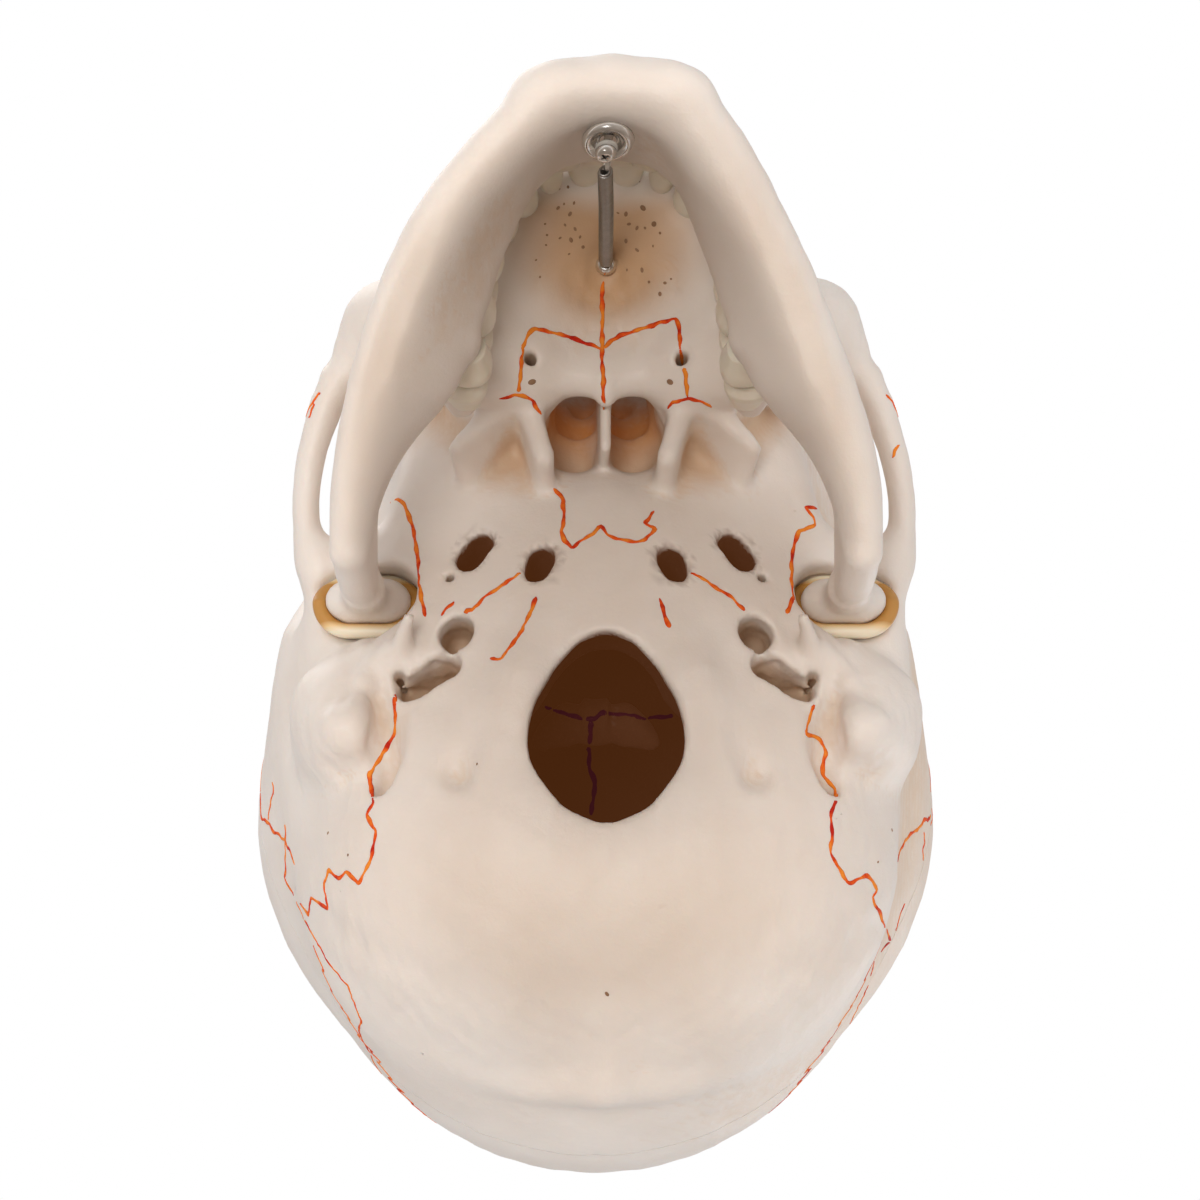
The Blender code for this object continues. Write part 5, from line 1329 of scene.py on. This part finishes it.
def paint(mouldings):
    painter = Painter(mouldings)
    for pixels in PHOTO_SUTURES:
        painter.photo_line(pixels)
    for pixels in PHOTO_THIN_SUTURES:
        painter.photo_line(pixels, THIN_INK)
    painter.lines, painter.dim = painter.dim, painter.lines
    for pixels in INNER_SUTURES:
        painter.photo_line(pixels, INNER_INK)
    painter.lines, painter.dim = painter.dim, painter.lines
    painter.zigzag(CORONAL, 26, 0.016)
    painter.zigzag(SAGITTAL, 26, 0.020, both=False)
    painter.zigzag(LAMBDOID, 22, 0.022)
    for shares in (SQUAMOSAL, PTERION, SPHENOID_WING, *CHEEK_SUTURES, NASAL_SUTURES[1]):
        painter.side_line(shares)
    painter.side_line(NASAL_SUTURES[0], both=False, jitter=0.002)
    for across, down, size in PITS:
        painter.pit(painter.hit(*photo_ray((across, down))), size / 1300)
    return painter.finish()


# Materials
class Look:
    """A material, with short names for building its nodes."""

    def __init__(self, name, colour, roughness, **sockets):
        self.item = bpy.data.materials.new(name)
        self.item.use_nodes = True
        self.tree = self.item.node_tree
        self.shader = self.tree.nodes["Principled BSDF"]
        self.set(Base_Color=(*colour, 1), Roughness=roughness, **sockets)

    def feed(self, value, socket):
        if isinstance(value, bpy.types.NodeSocket):
            self.tree.links.new(value, socket)
        else:
            socket.default_value = value

    def set(self, **sockets):
        for label, value in sockets.items():
            self.feed(value, self.shader.inputs[label.replace("_", " ")])

    def new(self, kind, **settings):
        node = self.tree.nodes.new("ShaderNode" + kind)
        for key, value in settings.items():
            setattr(node, key, value)
        return node

    def spot(self):
        return self.new("TexCoord").outputs["Object"]

    def noise(self, scale, detail=4.0, rough=0.55):
        spot = self.spot()
        node = self.new("TexNoise")
        for label, value in (("Scale", scale), ("Detail", detail), ("Roughness", rough), ("Vector", spot)):
            self.feed(value, node.inputs[label])
        return node.outputs["Fac"]

    def ramp(self, value, *stops):
        node = self.new("ValToRGB")
        points = node.color_ramp.elements
        while len(points) < len(stops):
            points.new(0.5)
        for point, (at, colour) in zip(points, stops):
            point.position = at
            point.color = (*colour, 1) if len(colour) == 3 else (colour[0], colour[0], colour[0], 1)
        self.feed(value, node.inputs["Fac"])
        return node.outputs["Color"]

    def mix(self, share, tone, colour):
        node = self.new("Mix", data_type="RGBA", blend_type="MIX")
        for value, socket in ((share, node.inputs[0]), (tone, node.inputs[6]), ((*colour, 1), node.inputs[7])):
            self.feed(value, socket)
        return node.outputs[2]

    def maths(self, operation, *values, kind="Math"):
        node = self.new(kind, operation=operation)
        for value, socket in zip(values, node.inputs):
            self.feed(value, socket)
        return node.outputs

    def times(self, *values):
        return self.maths("MULTIPLY", *values)[0]

    def fade(self, value, full, none):
        """1 up to full, 0 past none and smooth between."""
        span = self.new("MapRange", interpolation_type="SMOOTHSTEP")
        for label, number in (("From Min", full), ("From Max", none), ("To Min", 1.0), ("To Max", 0.0),
                              ("Value", value)):
            self.feed(number, span.inputs[label])
        return span.outputs["Result"]

    def behind(self, spot, soft):
        """0 ahead of a spot, 1 further back than soft, along the head."""
        ahead = HEAD.to_3x3() @ Vector((0, -1, 0))
        along = self.maths("DOT_PRODUCT", self.spot(), ahead, kind="VectorMath")["Value"]
        return self.fade(along, ahead.dot(spot) - soft, ahead.dot(spot))

    def near(self, spot, full, none):
        """1 within full of a spot and 0 past none."""
        return self.fade(self.maths("DISTANCE", self.spot(), spot, kind="VectorMath")["Value"], full, none)

    def bump(self, height, strength, distance):
        node = self.new("Bump")
        for label, value in (("Strength", strength), ("Distance", distance), ("Height", height)):
            self.feed(value, node.inputs[label])
        self.set(Normal=node.outputs["Normal"])


def bone_material():
    look = Look("ivory_plastic", (0.78, 0.68, 0.58), 0.48)
    cavity, depth, inner = (look.new("Attribute", attribute_name=name).outputs["Fac"]
                            for name in ("cavity", "depth", "inner"))
    tone = look.ramp(look.noise(38.0, 3.0), (0.35, (0.80, 0.70, 0.615)), (0.65, (0.84, 0.755, 0.68)))
    # Painted shade: tan where a place is enclosed, a darker tan deep in recesses
    tone = look.mix(look.ramp(cavity, (0.56, (0.0,)), (0.76, (1.0,))), tone, (0.76, 0.58, 0.43))
    deep = look.ramp(depth, (0.52, (0.0,)), (0.68, (1.0,)))
    tone = look.mix(deep, tone, (0.72, 0.52, 0.36))
    # Painted shade in brown-orange deep in the nasal cavities; they also get a painted glow below
    nasal_shade_glow = look.times(deep, look.near(HEAD @ Vector(place((0.0, 0.74, -0.10))), 0.016, 0.028))
    tone = look.mix(nasal_shade_glow, tone, (0.54, 0.25, 0.08))
    # Painted shade in brown on the front of the palate, which lies deep between the jaw halves
    palate_shade = look.times(look.near(HEAD @ Vector(place((0.0, 0.92, -0.33))), 0.014, 0.030),
                       look.behind(HEAD @ Vector(place((0.0, 0.94, -0.33))), 0.006))
    tone = look.mix(look.times(palate_shade, 0.85), tone, (0.60, 0.35, 0.17))
    look.bump(look.noise(900.0, 5.0, 0.6), 0.25, 0.0004)
    # Painted shade, nearly black, on the inside of the braincase, and a painted orange glow there and in the
    # nasal cavities
    look.set(Base_Color=look.mix(inner, tone, (0.06, 0.022, 0.009)),
             Roughness=look.maths("MULTIPLY_ADD", inner, 0.45, 0.48)[0],
             Subsurface_Weight=0.12, Subsurface_Radius=(1.0, 0.45, 0.25), Subsurface_Scale=0.003,
             Emission_Color=(1.0, 0.30, 0.075, 1),
             Emission_Strength=look.maths("MULTIPLY_ADD", inner, 0.056, look.times(nasal_shade_glow, 0.06))[0])
    return look.item


def cup_material():
    """Soft yellowish plastic, cream on its lip, with deep amber painted shade inside the cup near the condyle."""
    look = Look("soft_cup", (0.84, 0.72, 0.50), 0.42, Subsurface_Weight=0.2, Subsurface_Scale=0.002)
    hinge = Vector(joint("jaw_open")["pos_m"])
    flat = look.maths("MULTIPLY", look.spot(), (0, 1, 1), kind="VectorMath")[0]
    away = look.maths("DISTANCE", flat, (0, *hinge.yz), kind="VectorMath")["Value"]
    # Painted shade: deep amber near the hinge, cream further out
    look.set(Base_Color=look.ramp(look.times(away, 100.0), (0.46, (0.52, 0.25, 0.05)),
                                  (0.56, (0.80, 0.56, 0.28)), (0.66, (0.86, 0.76, 0.58))))
    look.bump(look.noise(700.0, 3.0), 0.05, 0.0002)
    return look.item


def suture_material():
    look = Look("suture_paint", (0.70, 0.14, 0.03), 0.6, Specular_IOR_Level=0.1)
    look.set(Base_Color=look.ramp(look.noise(220.0, 3.0), (0.36, (0.56, 0.018, 0.008)),
                                  (0.47, (0.84, 0.10, 0.012)), (0.62, (0.92, 0.27, 0.03))))
    return look.item


def shaded_suture_material():
    """The same paint as a shaded copy, for the lines in the dark of the braincase: painted shade, nearly black,
    with a faint painted glow.
    """
    look = Look("suture_paint_shaded_inside", (0.05, 0.010, 0.012), 0.7, Specular_IOR_Level=0.1)
    look.set(Base_Color=look.ramp(look.noise(220.0, 3.0), (0.4, (0.04, 0.008, 0.010)),
                                  (0.6, (0.06, 0.012, 0.012))),
             Emission_Color=(1.0, 0.16, 0.22, 1), Emission_Strength=0.032)
    return look.item


def metal_material(name, colour, roughness, scratch):
    look = Look(name, colour, roughness, Metallic=1.0)
    dim = tuple(value * 0.82 for value in colour)
    look.set(Base_Color=look.ramp(look.noise(scratch, 4.0), (0.3, dim), (0.7, colour)))
    look.bump(look.noise(scratch * 3, 3.0), 0.06, 0.0002)
    return look.item


def simple_material(name, low, high, roughness, scale=120.0, **sockets):
    look = Look(name, high, roughness, **sockets)
    look.set(Base_Color=look.ramp(look.noise(scale, 3.0), (0.35, low), (0.65, high)))
    look.bump(look.noise(scale * 8, 3.0), 0.05, 0.0002)
    return look.item


def wear(item, look, slot, body):
    item.data.materials.clear()
    item.data.materials.append(look)
    if body:
        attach(item, body)


# Light, floor and camera
LAMP_TARGET = Vector((0, 0, 0.07))
WARM = (1.0, 0.985, 0.965)


def lamp(name, spot, size, power, colour=(1, 1, 1)):
    light = bpy.data.lights.new(name, "AREA")
    light.shape = "DISK"
    light.size = size
    light.energy = power
    light.color = colour
    item = linked(name, light)
    item.location = spot
    item.rotation_euler = (Vector(spot) - LAMP_TARGET).to_track_quat("Z", "Y").to_euler()


def wire(tree, kinds, links, values):
    """Nodes by label, links between their outputs and inputs, and values, in an emptied tree."""
    tree.nodes.clear()
    nodes = {label: tree.nodes.new("ShaderNode" + kind) for label, kind in kinds.items()}
    for start, output, end, socket in links:
        tree.links.new(nodes[start].outputs[output], nodes[end].inputs[socket])
    for label, socket, value in values:
        nodes[label].inputs[socket].default_value = value
    return nodes


def floor():
    """White from above; clear from below and to the light."""
    work = bmesh.new()
    bmesh.ops.create_grid(work, x_segments=1, y_segments=1, size=6.0)
    item = bare("floor", work)
    item.location.z = -0.0002
    look = bpy.data.materials.new("white_floor")
    look.use_nodes = True
    nodes = wire(look.node_tree,
                 {"shade": "BsdfDiffuse", "clear": "BsdfTransparent", "side": "NewGeometry", "path": "LightPath",
                  "either": "Math", "mix": "MixShader", "out": "OutputMaterial"},
                 (("side", "Backfacing", "either", 0), ("path", "Is Shadow Ray", "either", 1),
                  ("either", 0, "mix", "Fac"), ("shade", 0, "mix", 1), ("clear", 0, "mix", 2),
                  ("mix", 0, "out", "Surface")),
                 (("shade", "Color", (0.95, 0.95, 0.95, 1)),))
    nodes["either"].operation = "MAXIMUM"
    item.data.materials.append(look)


def world():
    """A soft sky that the camera sees as plain white."""
    sky = bpy.data.worlds.new("studio")
    bpy.context.scene.world = sky
    sky.use_nodes = True
    wire(sky.node_tree,
         {"path": "LightPath", "soft": "Background", "plain": "Background", "mix": "MixShader",
          "out": "OutputWorld"},
         (("path", "Is Camera Ray", "mix", "Fac"), ("soft", 0, "mix", 1), ("plain", 0, "mix", 2),
          ("mix", 0, "out", "Surface")),
         (("soft", "Color", (0.96, 0.97, 1.0, 1)), ("soft", "Strength", 0.58), ("plain", "Color", (1, 1, 1, 1))))


def camera():
    spot, right, top, rear = photo_axes()
    lens = bpy.data.cameras.new("camera")
    lens.sensor_width = SENSOR
    lens.lens = SENSOR * CAMERA_SCALE * CAMERA_RANGE / PHOTO_WIDTH
    lens.clip_start = 0.01
    item = linked("camera", lens)
    matrix = Matrix((right, top, rear)).transposed().to_4x4()
    matrix.translation = spot
    item.matrix_world = matrix
    bpy.context.scene.camera = item
    return right, top, rear


def light_up():
    right, top, rear = camera()
    bpy.context.scene.view_settings.view_transform = "Standard"
    world()
    floor()
    lamp("key", LAMP_TARGET + rear * 3.0 - right * 0.46 + top * 0.4, 1.0, 32.0, WARM)
    lamp("fill", LAMP_TARGET + rear * 0.9 + right * 0.9 + top * 0.1, 0.9, 1.2)
    lamp("over", (-0.5, -0.7, 1.1), 0.9, 5.5, WARM)
    lamp("behind", (0.8, 0.8, 0.8), 0.9, 3.2)


def build():
    """Every piece, its look and the body that it rides."""
    base, cap, jaw, seated = mouldings()
    cups = joint_cups()
    cup, screw, link, hook, spring, start, end = hardware()
    for item in (cup, screw, link, hook, spring):
        item.data.transform(HEAD.inverted())
        spots = uneven(np.array([vertex.co for vertex in item.data.vertices]))
        item.data.vertices.foreach_set("co", spots.ravel())
        item.data.transform(HEAD)
    upper = set_teeth("upper", UPPER_ARCH, UPPER_TEETH, -1)
    lower = set_teeth("lower", LOWER_ARCH, LOWER_TEETH, 1)
    painted = paint({"base": base, "cap": cap, "jaw": jaw})
    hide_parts("cranial_base")
    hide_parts("calvarium")
    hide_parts("mandible")
    bone = bone_material()
    bodies = {"base": "skull_base", "cap": "cap", "jaw": "lower_jaw"}
    # the lines inside the braincase wear a copy of the paint with painted shade and glow
    ink = {"sutures": suture_material(), "inner_sutures": shaded_suture_material()}
    # dark spots of painted shade at the pits
    dark = simple_material("pit_shade", (0.26, 0.14, 0.07), (0.36, 0.21, 0.12), 0.8)
    enamel = simple_material("tooth_enamel", (0.80, 0.72, 0.58), (0.86, 0.80, 0.68), 0.28, 60.0,
                             Subsurface_Weight=0.15, Subsurface_Scale=0.002)
    rubber = cup_material()
    chrome = metal_material("nickel_plate", (0.80, 0.79, 0.77), 0.14, 300.0)
    steel = metal_material("spring_steel", (0.42, 0.40, 0.38), 0.28, 500.0)
    clear = simple_material("clear_plastic", (0.72, 0.68, 0.62), (0.82, 0.78, 0.72), 0.25, 200.0,
                            Transmission_Weight=0.45)
    for item, look, slot, body in (
            *((item, bone, "bone", body) for item, body in zip((base, cap, jaw), bodies.values())),
            *((item, ink.get(label, dark), "bone", bodies[name]) for (label, name), item in painted.items()),
            *((item, enamel, "tooth", "skull_base") for item in upper),
            *((item, enamel, "tooth", "lower_jaw") for item in lower),
            *((item, rubber, "disc", "skull_base") for item in cups),
            (cup, chrome, "chrome", "lower_jaw"), (screw, chrome, "chrome", "lower_jaw"),
            (link, clear, "link", "lower_jaw"), (hook, chrome, "chrome", "skull_base"),
            (spring, steel, "steel", None),
            *((item, chrome, "chrome", body) for item, body in seated)):
        wear(item, look, slot, body)
    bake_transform(spring)
    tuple(start)
    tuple(end)
    light_up()


build()
